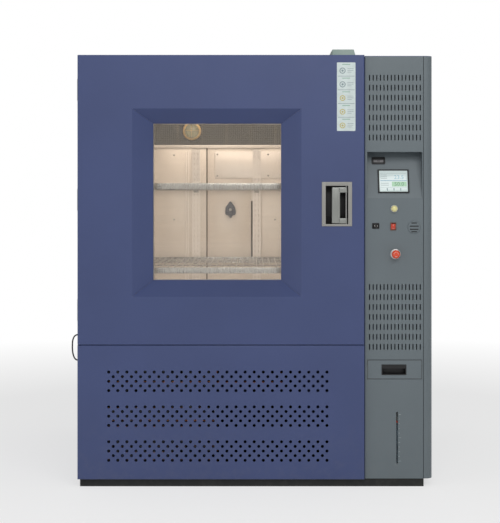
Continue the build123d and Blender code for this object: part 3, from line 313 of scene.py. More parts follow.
blackPlastic = moulded("blackPlastic", shade(15, 15, 17), 0.5)
greyPlastic = moulded("greyPlastic", shade(96, 100, 102), 0.48)
whitePlastic = moulded("whitePlastic", shade(216, 215, 208), 0.4)
redPlastic = moulded("redPlastic", shade(198, 56, 26), 0.34, 0.15, coat=0.3)
stopRed = moulded("stopRed", shade(226, 74, 34), 0.32, 0.1, coat=0.4)
brownFrame = moulded("brownFrame", shade(110, 86, 74), 0.45)
lampYellow = moulded("lampYellow", shade(236, 228, 160), 0.22, 0.05, coat=0.6)
compressorBlack = powderCoat("compressorBlack", shade(30, 31, 33), roughness=0.3, peel=1.0)
pocketBlack = powderCoat("pocketBlack", shade(24, 23, 25), roughness=0.55)
lampBrass = brushedMetal("lampBrass", shade(196, 168, 118), 0.4, "x", metallic=0.8)

# Which finish each carried-over node takes
nodeFinishes = {
    "base_frame": blackPaint, "side_and_rear_panels": bluePaint, "roof_panels": bluePaint,
    "column_side_panel": greyPaint, "chamber_casing": galvanised, "chamber_insulation": foam,
    "chamber_liner": stainless, "latch_keeper": stainless, "circulation_motor": greyPaint,
    "port_sleeve": stainless, "port_plug": plugRubber, "door_shell": bluePaint,
    "window_bevel": bluePaint, "window_panes": paneGlass, "window_spacers": aluminium,
    "door_insulation": foam, "door_inner_skin": stainless, "latch_bolt": brightSteel,
    "door_hinge_leaves": brightSteel, "cabinet_hinges": brightSteel, "condenser_shroud": blackPaint,
    "refrigerant_pipes": copper, "control_recess": greyPaint, "estop_stem": aluminium,
    "water_drawer": greyPaint, "drawer_sleeve": galvanised, "water_tank": whitePlastic,
    "level_gauge": gaugeClear,
}


def dressNodes():
    for name, material in nodeFinishes.items():
        mesh = cadNodes[name].data
        mesh.materials.clear()
        mesh.materials.append(material)
    print("carried-over nodes dressed:", len(nodeFinishes))


def spans(box):
    # a node's box as its two ends along x, y and z
    return tuple(zip(*box))


def about(middle, half):
    return middle - half, middle + half


def inside(span, inset):
    # the span with both ends moved in
    return span[0] + inset, span[1] - inset


def ends(span, width):
    # the strip of that width at each end of the span
    return (span[0], span[0] + width), (span[1] - width, span[1])


def sweep(steps, whole=math.pi / 2):
    # even angles from 0 to the whole
    return [whole * i / steps for i in range(steps + 1)]


def smoothed(mesh, angle=34):
    mesh.shade_smooth()
    mesh.set_sharp_from_angle(angle=math.radians(angle))
    return mesh


class Shape:
    # gathers the faces of one piece; every part of it is closed and has its own finish number
    def __init__(self):
        self.mesh = bmesh.new()

    def take(self, part, finish):
        bmesh.ops.recalc_face_normals(part, faces=part.faces)
        for face in part.faces:
            face.material_index = finish
        holder = bpy.data.meshes.new("part")
        part.to_mesh(holder)
        part.free()
        self.mesh.from_mesh(holder)
        bpy.data.meshes.remove(holder)
        return self

    def block(self, x, y, z, edge=0.0, finish=0, steps=2):
        # a box between the two ends on each axis, its edges rounded
        part = bmesh.new()
        middle = Vector(((x[0] + x[1]) / 2, (y[0] + y[1]) / 2, (z[0] + z[1]) / 2))
        size = (x[1] - x[0], y[1] - y[0], z[1] - z[0], 1)
        bmesh.ops.create_cube(part, size=1, matrix=Matrix.Diagonal(size))
        if edge:
            self.bevelled(part, part.edges[:], edge, steps)
        part.transform(Matrix.Translation(middle))
        return self.take(part, finish)

    def border(self, x, y, z, rim, edge=0.0, finish=0, lap=0.0, lying=False):
        # four bars round an opening in z, or in y when lying; lap: how far the cross bars run in
        side, end = rim if isinstance(rim, tuple) else (rim, rim)
        for bar in ends(x, side):
            self.block(bar, y, z, edge, finish)
        across = inside(x, side - lap)
        for bar in ends(y if lying else z, end):
            self.block(across, bar if lying else y, z if lying else bar, edge, finish)
        return self

    def turned(self, profile, at, axis="y", sides=48, finish=0):
        # a body of (radius, distance along the axis) points, turned about a line through the point at
        part = bmesh.new()
        rings = []
        for radius, along in profile:
            if radius < 1e-6:
                rings.append([part.verts.new((0, 0, along))])
                continue
            rings.append([part.verts.new((radius * math.cos(math.tau * i / sides),
                                          radius * math.sin(math.tau * i / sides), along))
                          for i in range(sides)])
        closed = profile[0][0] > 1e-6 or profile[-1][0] > 1e-6
        pairs = list(zip(rings, rings[1:])) + ([(rings[-1], rings[0])] if closed else [])
        for first, second in pairs:
            for i in range(sides):
                j = (i + 1) % sides
                corners = []
                for corner in (first[i % len(first)], first[j % len(first)],
                               second[j % len(second)], second[i % len(second)]):
                    if corner not in corners:
                        corners.append(corner)
                if len(corners) > 2:
                    part.faces.new(corners)
        swing = {"z": Matrix.Identity(4), "y": Matrix.Rotation(math.radians(-90), 4, "X"),
                 "x": Matrix.Rotation(math.radians(90), 4, "Y")}[axis]
        part.transform(Matrix.Translation(Vector(at)) @ swing)
        return self.take(part, finish)

    def disc(self, radius, low, high, at, axis="y", sides=24, finish=0, hole=0.0):
        # a round plate or rod, or a ring when it has a hole
        return self.turned([(hole, low), (radius, low), (radius, high), (hole, high)], at, axis, sides,
                           finish)

    def tube(self, points, radius, sides=12, finish=0):
        # a round bar along the points, its ends capped
        part = bmesh.new()
        spots = [Vector(p) for p in points]
        count = len(spots)
        rings = []
        side = None
        for i, spot in enumerate(spots):
            heading = (spots[min(i + 1, count - 1)] - spots[max(i - 1, 0)]).normalized()
            if side is None:
                side = heading.orthogonal().normalized()
            side = (side - heading * side.dot(heading)).normalized()
            other = heading.cross(side)
            rings.append([part.verts.new(spot + (side * math.cos(math.tau * k / sides)
                                                 + other * math.sin(math.tau * k / sides)) * radius)
                          for k in range(sides)])
        for first, second in zip(rings, rings[1:]):
            for k in range(sides):
                m = (k + 1) % sides
                part.faces.new((first[k], first[m], second[m], second[k]))
        part.faces.new(rings[0][::-1])
        part.faces.new(rings[-1])
        return self.take(part, finish)

    def slab(self, outline, axis, low, high, finish=0, edge=0.0):
        # a flat outline of (a, b) points given a thickness along one axis
        part = bmesh.new()
        spot = {"x": lambda a, b, c: (c, a, b), "y": lambda a, b, c: (a, c, b),
                "z": lambda a, b, c: (a, b, c)}[axis]
        under = [part.verts.new(spot(a, b, low)) for a, b in outline]
        over = [part.verts.new(spot(a, b, high)) for a, b in outline]
        part.faces.new(under)
        part.faces.new(over[::-1])
        for i in range(len(outline)):
            j = (i + 1) % len(outline)
            part.faces.new((under[i], over[i], over[j], under[j]))
        bmesh.ops.recalc_face_normals(part, faces=part.faces)
        if edge:
            self.bevelled(part, part.edges[:], edge, 2)
        return self.take(part, finish)

    def pan(self, x, y, z, wall, finish=0, edge=0.0):
        # a folded sheet: a front face with returns on its four sides, open towards +y
        part = bmesh.new()

        def corners(inset, depth):
            return [part.verts.new((a, depth, b)) for a, b in
                    ((x[0] + inset, z[0] + inset), (x[1] - inset, z[0] + inset),
                     (x[1] - inset, z[1] - inset), (x[0] + inset, z[1] - inset))]
        rings = [corners(0, y[0]), corners(0, y[1]), corners(wall, y[1]), corners(wall, y[0] + wall)]
        part.faces.new(rings[0])
        part.faces.new(rings[-1][::-1])
        for first, second in zip(rings, rings[1:]):
            for i in range(4):
                j = (i + 1) % 4
                part.faces.new((first[i], second[i], second[j], first[j]))
        bmesh.ops.recalc_face_normals(part, faces=part.faces)
        if edge:
            front = [e for e in part.edges if all(v in rings[0] for v in e.verts)]
            self.bevelled(part, front, edge, 3)
        return self.take(part, finish)

    def bevelled(self, part, edges, width, steps):
        bmesh.ops.bevel(part, geom=edges, offset=width, segments=steps, profile=0.5, affect="EDGES",
                        clamp_overlap=True)

    def moved(self, matrix):
        self.mesh.transform(matrix)
        return self

    def lettered(self, text, size, at, finish=0, depth=0.0002):
        # figures as a thin mesh, in the shape's own x and y
        words = bpy.data.curves.new("words", "FONT")
        words.body = text
        words.size = size
        words.extrude = depth
        words.align_x = "CENTER"
        words.resolution_u = 2
        holder = linked("words", words)
        bpy.context.view_layer.update()
        seen = holder.evaluated_get(bpy.context.evaluated_depsgraph_get())
        mesh = bpy.data.meshes.new_from_object(seen)
        mesh.transform(Matrix.Translation(Vector(at)))
        part = bmesh.new()
        part.from_mesh(mesh)
        bmesh.ops.remove_doubles(part, verts=part.verts, dist=1e-6)
        bpy.data.objects.remove(holder)
        bpy.data.meshes.remove(mesh)
        return self.take(part, finish)

    def made(self, name, *materials, angle=34):
        mesh = bpy.data.meshes.new(name)
        self.mesh.to_mesh(mesh)
        self.mesh.free()
        for material in materials:
            mesh.materials.append(material)
        return linked(name, smoothed(mesh, angle))


def rounded(width, height, corner, steps=5, at=(0, 0)):
    # the outline of a rectangle with round corners
    points = []
    for quarter, (sx, sz) in enumerate(((1, 1), (-1, 1), (-1, -1), (1, -1))):
        for step in range(steps + 1):
            turn = math.radians(90 * (quarter + step / steps))
            points.append((at[0] + sx * (width / 2 - corner) + corner * math.cos(turn),
                           at[1] + sz * (height / 2 - corner) + corner * math.sin(turn)))
    return points


def arc(radius, start, end, steps, at=(0, 0)):
    return [(at[0] + radius * math.cos(math.radians(start + (end - start) * i / steps)),
             at[1] + radius * math.sin(math.radians(start + (end - start) * i / steps)))
            for i in range(steps + 1)]


def fixed(piece, body, *nodes, slot=None):
    # the piece rides on its body and stands for the nodes
    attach(piece, body)
    if nodes:
        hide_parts(*nodes)
    return piece


def flat(piece):
    # the piece with its modifiers made part of a plain mesh
    bpy.context.view_layer.update()
    seen = piece.evaluated_get(bpy.context.evaluated_depsgraph_get())
    mesh = bpy.data.meshes.new_from_object(seen)
    mesh.name = piece.name
    piece.modifiers.clear()
    old = piece.data
    piece.data = smoothed(mesh)
    if old.users == 0:
        bpy.data.meshes.remove(old)
    return piece


def cutOut(piece, cutter):
    # takes the cutter's form out of the piece
    step = piece.modifiers.new("cut", "BOOLEAN")
    step.operation = "DIFFERENCE"
    step.solver = "EXACT"
    step.object = cutter
    flat(piece)
    bpy.data.objects.remove(cutter)
    return piece


class Recipe(Graph):
    # a Geometry Nodes tree with named inputs
    def __init__(self, name):
        tree = bpy.data.node_groups.new(name, "GeometryNodeTree")
        super().__init__(tree)
        tree.interface.new_socket("Geometry", in_out="INPUT", socket_type="NodeSocketGeometry")
        tree.interface.new_socket("Geometry", in_out="OUTPUT", socket_type="NodeSocketGeometry")
        self.start = tree.nodes.new("NodeGroupInput")
        self.end = tree.nodes.new("NodeGroupOutput")
        self.sockets = {}
        self.geometry = Wire(self, self.start.outputs[0])

    def named(self, name, kind="Float"):
        socket = self.tree.interface.new_socket(name, in_out="INPUT", socket_type="NodeSocket" + kind)
        self.sockets[name] = socket.identifier
        found = [s for s in self.start.outputs if s.identifier == socket.identifier]
        return Wire(self, found[0])

    def vector(self, x=0.0, y=0.0, z=0.0):
        return self.out("ShaderNodeCombineXYZ", None, {0: x, 1: y, 2: z})

    def gathered(self, *wires):
        join = self.add("GeometryNodeJoinGeometry")
        for wire in reversed(wires):
            self.tree.links.new(wire.socket, join.inputs[0])
        return Wire(self, join.outputs[0])

    def served(self, geometry, material):
        # the last steps of every tree
        real = self.out("GeometryNodeRealizeInstances", None, {0: geometry})
        coated = self.out("GeometryNodeSetMaterial", None, {"Geometry": real, "Material": material})
        self.tree.links.new(coated.socket, self.end.inputs[0])
        return self

    def grown(self, piece, values):
        # runs the tree on the piece and leaves a plain mesh
        step = piece.modifiers.new("recipe", "NODES")
        step.node_group = self.tree
        for name, value in values.items():
            step[self.sockets[name]] = value
        return flat(piece)


def emptyPiece(name):
    return linked(name, bpy.data.meshes.new(name))


def clear(piece):
    mesh = piece.data
    bpy.data.objects.remove(piece)
    if mesh.users == 0:
        bpy.data.meshes.remove(mesh)


# Recipes for what repeats

def punchRecipe():
    # rows of holes cut through the sheet, with round ends as wide as the hole is narrow
    r = Recipe("punchedHoles")
    across, rows, bands = (r.named(name, "Int") for name in ("across", "rows", "bands"))
    pitch, rowStep, bandStep, stagger, width, height, middleX, topZ, sheetY, depth = (
        r.named(name) for name in ("pitch", "rowStep", "bandStep", "stagger", "holeWidth", "holeHeight",
                                   "middleX", "topZ", "sheetY", "depth"))
    material = r.named("material", "Material")
    line = r.out("GeometryNodeMeshLine", None,
                 {"Count": across * rows * bands, "Offset": (0.0, 0.0, 0.0)})
    index = r.out("GeometryNodeInputIndex")
    column = index % across
    row = (index / across).floor() % rows
    band = (index / (across * rows)).floor()
    odd = row % 2.0
    spot = r.vector(middleX + (column - (across - 1.0) / 2.0 + odd * stagger) * pitch, sheetY,
                    topZ - band * bandStep - row * rowStep)
    spots = r.out("GeometryNodeSetPosition", None, {"Geometry": line, "Position": spot})
    spare = odd * stagger.above(0.0) * column.above(across - 1.5)
    kept = r.out("GeometryNodeDeleteGeometry", {"domain": "POINT"},
                 {"Geometry": spots, "Selection": spare})
    outline = r.out("GeometryNodeCurvePrimitiveQuadrilateral", None, {"Width": width, "Height": height})
    radius = r.out("ShaderNodeMath", {"operation": "MINIMUM"}, {0: width, 1: height}) * 0.499
    softened = r.out("GeometryNodeFilletCurve", {"mode": "POLY"},
                     {"Curve": outline, "Radius": radius, "Count": 5})
    path = r.out("GeometryNodeCurvePrimitiveLine", None,
                 {"Start": r.vector(0.0, 0.0 - depth, 0.0), "End": r.vector(0.0, depth, 0.0)})
    cutter = r.out("GeometryNodeCurveToMesh", None,
                   {"Curve": path, "Profile Curve": softened, "Fill Caps": True})
    cutters = r.out("GeometryNodeInstanceOnPoints", None, {"Points": kept, "Instance": cutter})
    loose = r.out("GeometryNodeRealizeInstances", None, {0: cutters})
    cut = r.add("GeometryNodeMeshBoolean", {"operation": "DIFFERENCE", "solver": "EXACT"},
                {"Mesh 1": r.geometry})
    r.tree.links.new(loose.socket, cut.inputs["Mesh 2"])
    return r.served(Wire(r, cut.outputs["Mesh"]), material)


def rowRecipe(name, kind):
    # equal bars or rods, one step apart
    r = Recipe(name)
    count = r.named("count", "Int")
    start, step, size, turn = (r.named(n, "Vector") for n in ("start", "step", "size", "turn"))
    material = r.named("material", "Material")
    line = r.out("GeometryNodeMeshLine", None, {"Count": count, "Start Location": start, "Offset": step})
    if kind == "bar":
        one = r.out("GeometryNodeMeshCube", None, {"Size": size})
    else:
        parts = r.add("ShaderNodeSeparateXYZ", None, {0: size})
        one = r.out("GeometryNodeMeshCylinder", None,
                    {"Vertices": 10, "Radius": Wire(r, parts.outputs[0]),
                     "Depth": Wire(r, parts.outputs[2])})
    row = r.out("GeometryNodeInstanceOnPoints", None, {"Points": line, "Instance": one, "Rotation": turn})
    return r.served(r.gathered(r.geometry, row), material)


def spotRecipe():
    # one small piece set on each loose point of the mesh
    r = Recipe("setOnPoints")
    pattern = r.named("pattern", "Object")
    turn = r.named("turn", "Vector")
    material = r.named("material", "Material")
    seen = r.out("GeometryNodeObjectInfo", None, {"Object": pattern}, "Geometry")
    row = r.out("GeometryNodeInstanceOnPoints", None,
                {"Points": r.geometry, "Instance": seen, "Rotation": turn})
    return r.served(row, material)


def spinRecipe():
    # copies of one piece turned evenly about a line along y
    r = Recipe("turnedCopies")
    pattern = r.named("pattern", "Object")
    count = r.named("count", "Int")
    middle = r.named("middle", "Vector")
    material = r.named("material", "Material")
    line = r.out("GeometryNodeMeshLine", None,
                 {"Count": count, "Start Location": middle, "Offset": (0.0, 0.0, 0.0)})
    angle = r.out("GeometryNodeInputIndex") * math.tau / count
    seen = r.out("GeometryNodeObjectInfo", None, {"Object": pattern}, "Geometry")
    row = r.out("GeometryNodeInstanceOnPoints", None,
                {"Points": line, "Instance": seen, "Rotation": r.vector(0.0, angle, 0.0)})
    return r.served(r.gathered(r.geometry, row), material)


punchedHoles = punchRecipe()
barRow = rowRecipe("rowOfBars", "bar")
rodRow = rowRecipe("rowOfRods", "rod")
setOnPoints = spotRecipe()
turnedCopies = spinRecipe()


def punched(piece, holes, sheetY, material, **places):
    # the holes of the dictionary, through the sheet whose face lies at sheetY
    plain = {"bands": 1, "bandStep": 0.0, "stagger": 0.0, "depth": 0.005}
    return punchedHoles.grown(piece, {**plain, **holes, **places, "sheetY": sheetY, "material": material})


def rods(name, kind, count, start, step, size, material, turn=(0, 0, 0)):
    return kind.grown(emptyPiece(name), {"count": count, "start": start, "step": step, "size": size,
                                         "turn": turn, "material": material})


def scattered(name, points, pattern, material, turn=(0, 0, 0)):
    piece = emptyPiece(name)
    piece.data.from_pydata([tuple(p) for p in points], [], [])
    return setOnPoints.grown(piece, {"pattern": pattern, "turn": turn, "material": material})


def spun(pattern, count, middle, material):
    # the pattern copied round the middle and then removed
    wheel = emptyPiece("blades")
    turnedCopies.grown(wheel, {"pattern": pattern, "count": count, "middle": middle,
                               "material": material})
    clear(pattern)
    return wheel


def joined(name, *pieces):
    # several meshes as one piece, materials kept
    mesh = bpy.data.meshes.new(name)
    gathered = bmesh.new()
    materials = []
    for piece in pieces:
        part = bmesh.new()
        part.from_mesh(piece.data)
        own = list(piece.data.materials)
        for material in own:
            if material not in materials:
                materials.append(material)
        for face in part.faces:
            face.material_index = materials.index(own[face.material_index])
        holder = bpy.data.meshes.new("part")
        part.to_mesh(holder)
        part.free()
        gathered.from_mesh(holder)
        bpy.data.meshes.remove(holder)
        bpy.data.objects.remove(piece)
    gathered.to_mesh(mesh)
    gathered.free()
    for material in materials:
        mesh.materials.append(material)
    return linked(name, smoothed(mesh))


# Blue lower front panel: a folded sheet with three bands of round holes
lowerPanel = {
    "wall": 0.002, "fold": 0.004,
    "holes": {"across": 25, "rows": 5, "bands": 3, "pitch": 0.0373, "rowStep": 0.019, "bandStep": 0.143,
              "stagger": 0.5, "holeWidth": 0.0126, "holeHeight": 0.0126, "middleX": -0.1535,
              "topZ": 0.474},
}


def makeLowerPanel():
    x, y, z = spans(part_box("lower_front_panel"))
    sheet = Shape().pan(x, y, z, lowerPanel["wall"], edge=lowerPanel["fold"])
    panel = sheet.made("lowerPanel", bluePaint)
    punched(panel, lowerPanel["holes"], y[0], bluePaint)
    fixed(panel, "cabinet", "lower_front_panel", slot="blue_paint")


# Grey column front: two slotted fields, and the openings for what the column carries
columnFront = {
    "wall": 0.002, "fold": 0.0015, "lip": 0.02, "tops": (1.683, 0.821),
    "slots": {"across": 15, "rows": 7, "pitch": 0.0149, "rowStep": 0.041, "holeWidth": 0.0044,
              "holeHeight": 0.0245, "middleX": 0.575},
    "recess": {"x": (0.461, 0.688), "z": (1.186, 1.378)}, "drawerZ": (0.4412, 0.5228),
    "drawerPlay": 0.0008,
    "gauge": {"width": 0.008, "height": 0.212, "corner": 0.0039, "at": (0.584, 0.201)},
    "rockerHoles": ((0.496, 1.073, 0.025, 0.019), (0.568, 1.071, 0.021, 0.029)),
    "roundHoles": ((0.572, 1.144, 0.0113), (0.577, 0.957, 0.012)), "cut": 0.006,
    "seam": {"x": (-0.004, 0.005), "y": (0.006, 0.0075), "z": (0.001, -0.004)},
}


def makeColumnFront():
    low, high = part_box("column_front_panel")
    wall, fold, lip, cut = (columnFront[key] for key in ("wall", "fold", "lip", "cut"))
    x0, x1, y0 = low.x, high.x, low.y
    sheet = Shape().slab([(x0, y0 + fold), (x0 + fold, y0), (x1 - fold, y0), (x1, y0 + fold),
                          (x1, y0 + lip), (x1 - wall, y0 + lip), (x1 - wall, y0 + wall),
                          (x0 + wall, y0 + wall), (x0 + wall, high.y), (x0, high.y)], "z", low.z, high.z)
    panel = sheet.made("columnFront", greyPaint)
    for top in columnFront["tops"]:
        punched(panel, columnFront["slots"], y0, greyPaint, topZ=top)
    openings = Shape()
    y = (y0 - cut / 2, y0 + wall + cut / 2)
    openings.block(columnFront["recess"]["x"], y, columnFront["recess"]["z"])
    drawer = spans(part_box("water_drawer"))[0]
    openings.block(inside(drawer, -columnFront["drawerPlay"]), y, columnFront["drawerZ"])
    openings.slab(rounded(**columnFront["gauge"]), "y", *y)
    for x, z, width, height in columnFront["rockerHoles"]:
        openings.block(about(x, width / 2), y, about(z, height / 2))
    for x, z, radius in columnFront["roundHoles"]:
        openings.disc(radius, -cut, cut, (x, y0, z), sides=32)
    cutOut(panel, openings.made("openings"))
    panel.data.materials.clear()
    panel.data.materials.append(greyPaint)
    # a dark strip behind the seam with the side panel, so no light shows through it
    seam = columnFront["seam"]
    strip = Shape().block((x1 + seam["x"][0], x1 + seam["x"][1]), (y0 + seam["y"][0], y0 + seam["y"][1]),
                          (low.z + seam["z"][0], high.z + seam["z"][1]))
    panel = joined("columnFront", panel, strip.made("strip", blackPlastic))
    fixed(panel, "cabinet", "column_front_panel", slot="grey_paint")


# Air outlet: a frame of folded strip around a wire mesh
outlet = {"rim": 0.014, "wire": 0.0011, "cell": 0.0105, "bars": 7, "barWidth": 0.006, "barDepth": 0.002,
          "backInset": (0.002, 0.004)}
# A dark plate for behind the outlet mesh: painted shade of the duct
ductDark = powderCoat("ductDark", shade(74, 74, 66), roughness=0.6)


def makeOutlet():
    x, y, z = spans(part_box("air_outlet_grille"))
    rim, wire, cell, bars = (outlet[key] for key in ("rim", "wire", "cell", "bars"))
    frameStrip = Shape()
    # the lower bar takes the brighter stainless as painted highlight; the upper bar and the sides take
    # the dark mesh metal
    for bar, finish in zip(ends(z, rim), (2, 0)):
        frameStrip.block(x, y, bar, 0.0008, finish)
    for bar in ends(x, rim):
        frameStrip.block(bar, y, inside(z, rim), 0.0008)
    insetX, insetZ = outlet["backInset"]
    # the dark plate behind the mesh is painted shade of the duct
    frameStrip.block(inside(x, insetX), (y[1], y[1] + 0.002), inside(z, insetZ), finish=1)
    border = frameStrip.made("outletFrame", darkMesh, ductDark, stainlessUpright)
    width, height = x[1] - x[0] - 2 * rim, z[1] - z[0] - 2 * rim
    across, up = int(width / cell), int(height / cell)
    middleX, middleY, middleZ = sum(x) / 2, sum(y) / 2, sum(z) / 2
    uprights = rods("uprights", rodRow, across, (x[0] + rim + cell / 2, middleY, middleZ),
                    (width / across, 0, 0), (wire, 0, height + 0.01), darkMesh)
    levels = rods("levels", rodRow, up, (middleX, middleY + wire * 1.6, z[0] + rim + cell / 2),
                  (0, 0, height / up), (wire, 0, width + 0.01), darkMesh, toRight)
    step = width / (bars + 1)
    braces = rods("bars", barRow, bars, (x[0] + step + rim, y[1] - 0.0015, middleZ), (step, 0, 0),
                  (outlet["barWidth"], outlet["barDepth"], height), darkMesh)
    fixed(joined("airOutletMesh", border, uprights, levels, braces), "cabinet", "air_outlet_grille",
          slot="galvanised")


# Wire shelves: a folded rim, round wires and cross rods
shelf = {"levels": (0.870, 1.225), "wires": 33, "wireRadius": 0.0025, "wireInset": 0.01,
         "wireDrop": 0.004,
         "crossRods": 4, "crossRadius": 0.0035, "crossInset": 0.12, "crossDrop": 0.0095,
         "rimWall": 0.003, "rimHeight": 0.025, "fold": 0.011, "play": 0.004}


def makeShelves():
    x, y, z = spans(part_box("shelves"))
    wall, play, inset = shelf["rimWall"], shelf["play"], shelf["crossInset"]
    pieces = []
    for bottom in shelf["levels"]:
        top = bottom + shelf["rimHeight"]
        rim = Shape()
        for bar in ends(y, wall):
            rim.block(x, bar, (bottom, top), 0.0008)
        for bar in ends(x, wall):
            rim.block(bar, inside(y, wall), (bottom, top), 0.0008)
        for bar in ends(inside(y, wall), shelf["fold"]):
            rim.block(inside(x, wall), bar, (bottom, bottom + wall), 0.0005)
        pieces.append(rim.made("rim", brightSteel))
        start, stop = inside(x, shelf["wireInset"])
        step = (stop - start) / (shelf["wires"] - 1)
        pieces.append(rods("wires", rodRow, shelf["wires"], (start, sum(y) / 2, top - shelf["wireDrop"]),
                           (step, 0, 0), (shelf["wireRadius"], 0, y[1] - y[0] - play), brightSteel,
                           toFront))
        step = (y[1] - y[0] - 2 * inset) / (shelf["crossRods"] - 1)
        pieces.append(rods("cross", rodRow, shelf["crossRods"],
                           (sum(x) / 2, y[0] + inset, top - shelf["crossDrop"]), (0, step, 0),
                           (shelf["crossRadius"], 0, x[1] - x[0] - play), brightSteel, toRight))
    fixed(joined("wireShelves", *pieces), "cabinet", "shelves", slot="bright_steel")


# Slotted uprights that carry the shelves: channels with two rows of slots, and the clips in them
upright = {
    "width": 0.04, "wall": 0.0016, "depth": 0.015, "z": (0.721, 1.426), "backX": (-0.290, 0.010),
    "sideY": -0.482, "clipHalf": 0.012, "clipReach": 0.020, "clipTip": 0.004, "clipRoot": 0.012,
    "slots": {"across": 2, "pitch": 0.017, "rowStep": 0.0254, "holeWidth": 0.0042, "holeHeight": 0.013,
              "middleX": 0.0, "depth": 0.004},
    "slotMargins": (0.03, 0.02),
}


def channel(name, x, y, turn):
    # a channel in its own place with the slots cut, then turned about z and moved
    half, wall, depth = upright["width"] / 2, upright["wall"], upright["depth"]
    z0, z1 = upright["z"]
    section = Shape().slab([(-half, 0), (half, 0), (half, depth), (half - wall, depth),
                            (half - wall, wall),
                            (wall - half, wall), (wall - half, depth), (-half, depth)], "z", z0, z1)
    # the channels take the brighter z-brushed stainless, whose extra brightness is painted highlight
    piece = section.made(name, stainlessUpright)
    spare, topMargin = upright["slotMargins"]
    rows = int((z1 - z0 - spare) / upright["slots"]["rowStep"])
    punched(piece, upright["slots"], 0.0, stainlessUpright, rows=rows, topZ=z1 - topMargin)
    piece.data.transform(Matrix.Translation((x, y, 0)) @ Matrix.Rotation(math.radians(turn), 4, "Z"))
    return piece


def makeUprights():
    y, depth, half = upright["sideY"], upright["depth"], upright["clipHalf"]
    reach, tip, root = upright["clipReach"], upright["clipTip"], upright["clipRoot"]
    back = baffleY - depth
    sides = (("left", mouth["x0"] + depth, 1), ("right", mouth["x1"] - depth, -1))
    pieces = [channel(name, x, back, 0) for name, x in zip(("backLeft", "backRight"), upright["backX"])]
    pieces += [channel(name, x, y, 90 * side) for name, x, side in sides]
    clips = Shape()
    for z in shelf["levels"]:
        for x in upright["backX"]:
            clips.slab([(back + 0.001, z), (back - reach, z), (back - reach, z - tip),
                        (back + 0.001, z - root)], "x", *about(x, half))
        for name, x, side in sides:
            clips.slab([(x - side * 0.001, z), (x + side * reach, z), (x + side * reach, z - tip),
                        (x - side * 0.001, z - root)], "y", *about(y, half))
    pieces.append(clips.made("clips", brightSteel))
    fixed(joined("shelfUprights", *pieces), "cabinet", "shelf_standards", slot="stainless")


# Handle: a pale frame round a black pan, the pin in front of it and the C-shaped lever on the pin
handle = {"x": (0.288, 0.382), "z": (1.080, 1.239), "back": -0.652, "wall": 0.002,
          "rim": 0.015, "rimLow": 0.008, "rimThick": 0.003, "lap": 0.001,
          "boss": {"x": (0.292, 0.360), "z": (1.108, 1.211), "height": 0.006},
          "case": {"x": (0.330, 0.4385), "y": (-0.647, -0.607), "z": (1.128, 1.192)},
          "pin": (0.374, -0.691), "pinRadius": 0.003, "gripX": (0.314, 0.349), "leverY": (-0.697, -0.685),
          "armHeight": 0.023, "armLap": 0.008, "eye": (0.00305, 0.0055, 0.006)}


def makeHandle():
    x, z, back = handle["x"], handle["z"], handle["back"]
    rim, wall, lap = handle["rim"], handle["wall"], handle["lap"]
    pinX, pinY = handle["pin"]
    wallX, wallZ = inside(x, -wall), inside(z, -wall)
    pan = Shape()
    pan.block(wallX, (back, back + wall), wallZ, 0.0005, 1)
    pan.border(wallX, (frontY, back), wallZ, wall, 0.0003, 1)
    y = (frontY - handle["rimThick"], frontY)
    rimZ = (z[0] - handle["rimLow"], z[1] + rim)
    for bar in ((x[0] - rim, x[0] + lap), (x[1] - lap, x[1] + rim)):
        pan.block(bar, y, rimZ, 0.001)
    for bar in ((rimZ[0], z[0] + lap), (z[1] - lap, rimZ[1])):
        pan.block(x, y, bar, 0.001)
    boss, case = handle["boss"], handle["case"]
    pan.block(boss["x"], (back - boss["height"], back), boss["z"], 0.002, 1)
    pan.tube([(pinX, pinY, z[0]), (pinX, pinY, z[1])], handle["pinRadius"], 16, 2)
    pan.block(case["x"], case["y"], case["z"], 0.001, 3)
    piece = pan.made("handlePocket", framePaint, pocketBlack, brightSteel, galvanised)
    fixed(piece, "door", "handle_pocket", slot="handle_frame")
    x, y, z = spans(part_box("handle_lever"))
    lever = Shape()
    lever.block(handle["gripX"], handle["leverY"], z, 0.004, 0, 4)
    hole, chamfer, radius = handle["eye"]
    for arm in ends(z, handle["armHeight"]):
        lever.block((handle["gripX"][1] - handle["armLap"], pinX), handle["leverY"], arm, 0.0025, 0, 3)
        eye = [(hole, arm[0]), (chamfer, arm[0]), (radius, arm[0] + 0.0005),
               (radius, arm[1] - 0.0005), (chamfer, arm[1]), (hole, arm[1])]
        lever.turned(eye, (pinX, pinY, 0), "z", 32)
    fixed(lever.made("leverHandle", leverMetal), "handle_lever", "handle_lever", slot="handle_frame")


# The inclined plate of the control recess: x, up the slope and out from it
slopeTilt = math.atan2(0.060, 0.192)
slope = Matrix(((1, 0, 0, 0), (0, math.sin(slopeTilt), -math.cos(slopeTilt), columnY + 0.002),
                (0, math.cos(slopeTilt), math.sin(slopeTilt), 1.186), (0, 0, 0, 1)))


def litPanel(name, colour, strength=0.62):
    # a lit surface of fine dots under a clear face
    f = Finish(name)
    dots = f.cells(0.0006)
    tone = f.toned(colour, f.ramp(dots, 0.2, 0.8), 0.05)
    return f.dress({"Base Color": f.mix(0.85, tone, (0.02, 0.02, 0.02)), "Emission Color": tone,
                    "Emission Strength": strength, "Roughness": 0.14, "Coat Weight": 0.5})


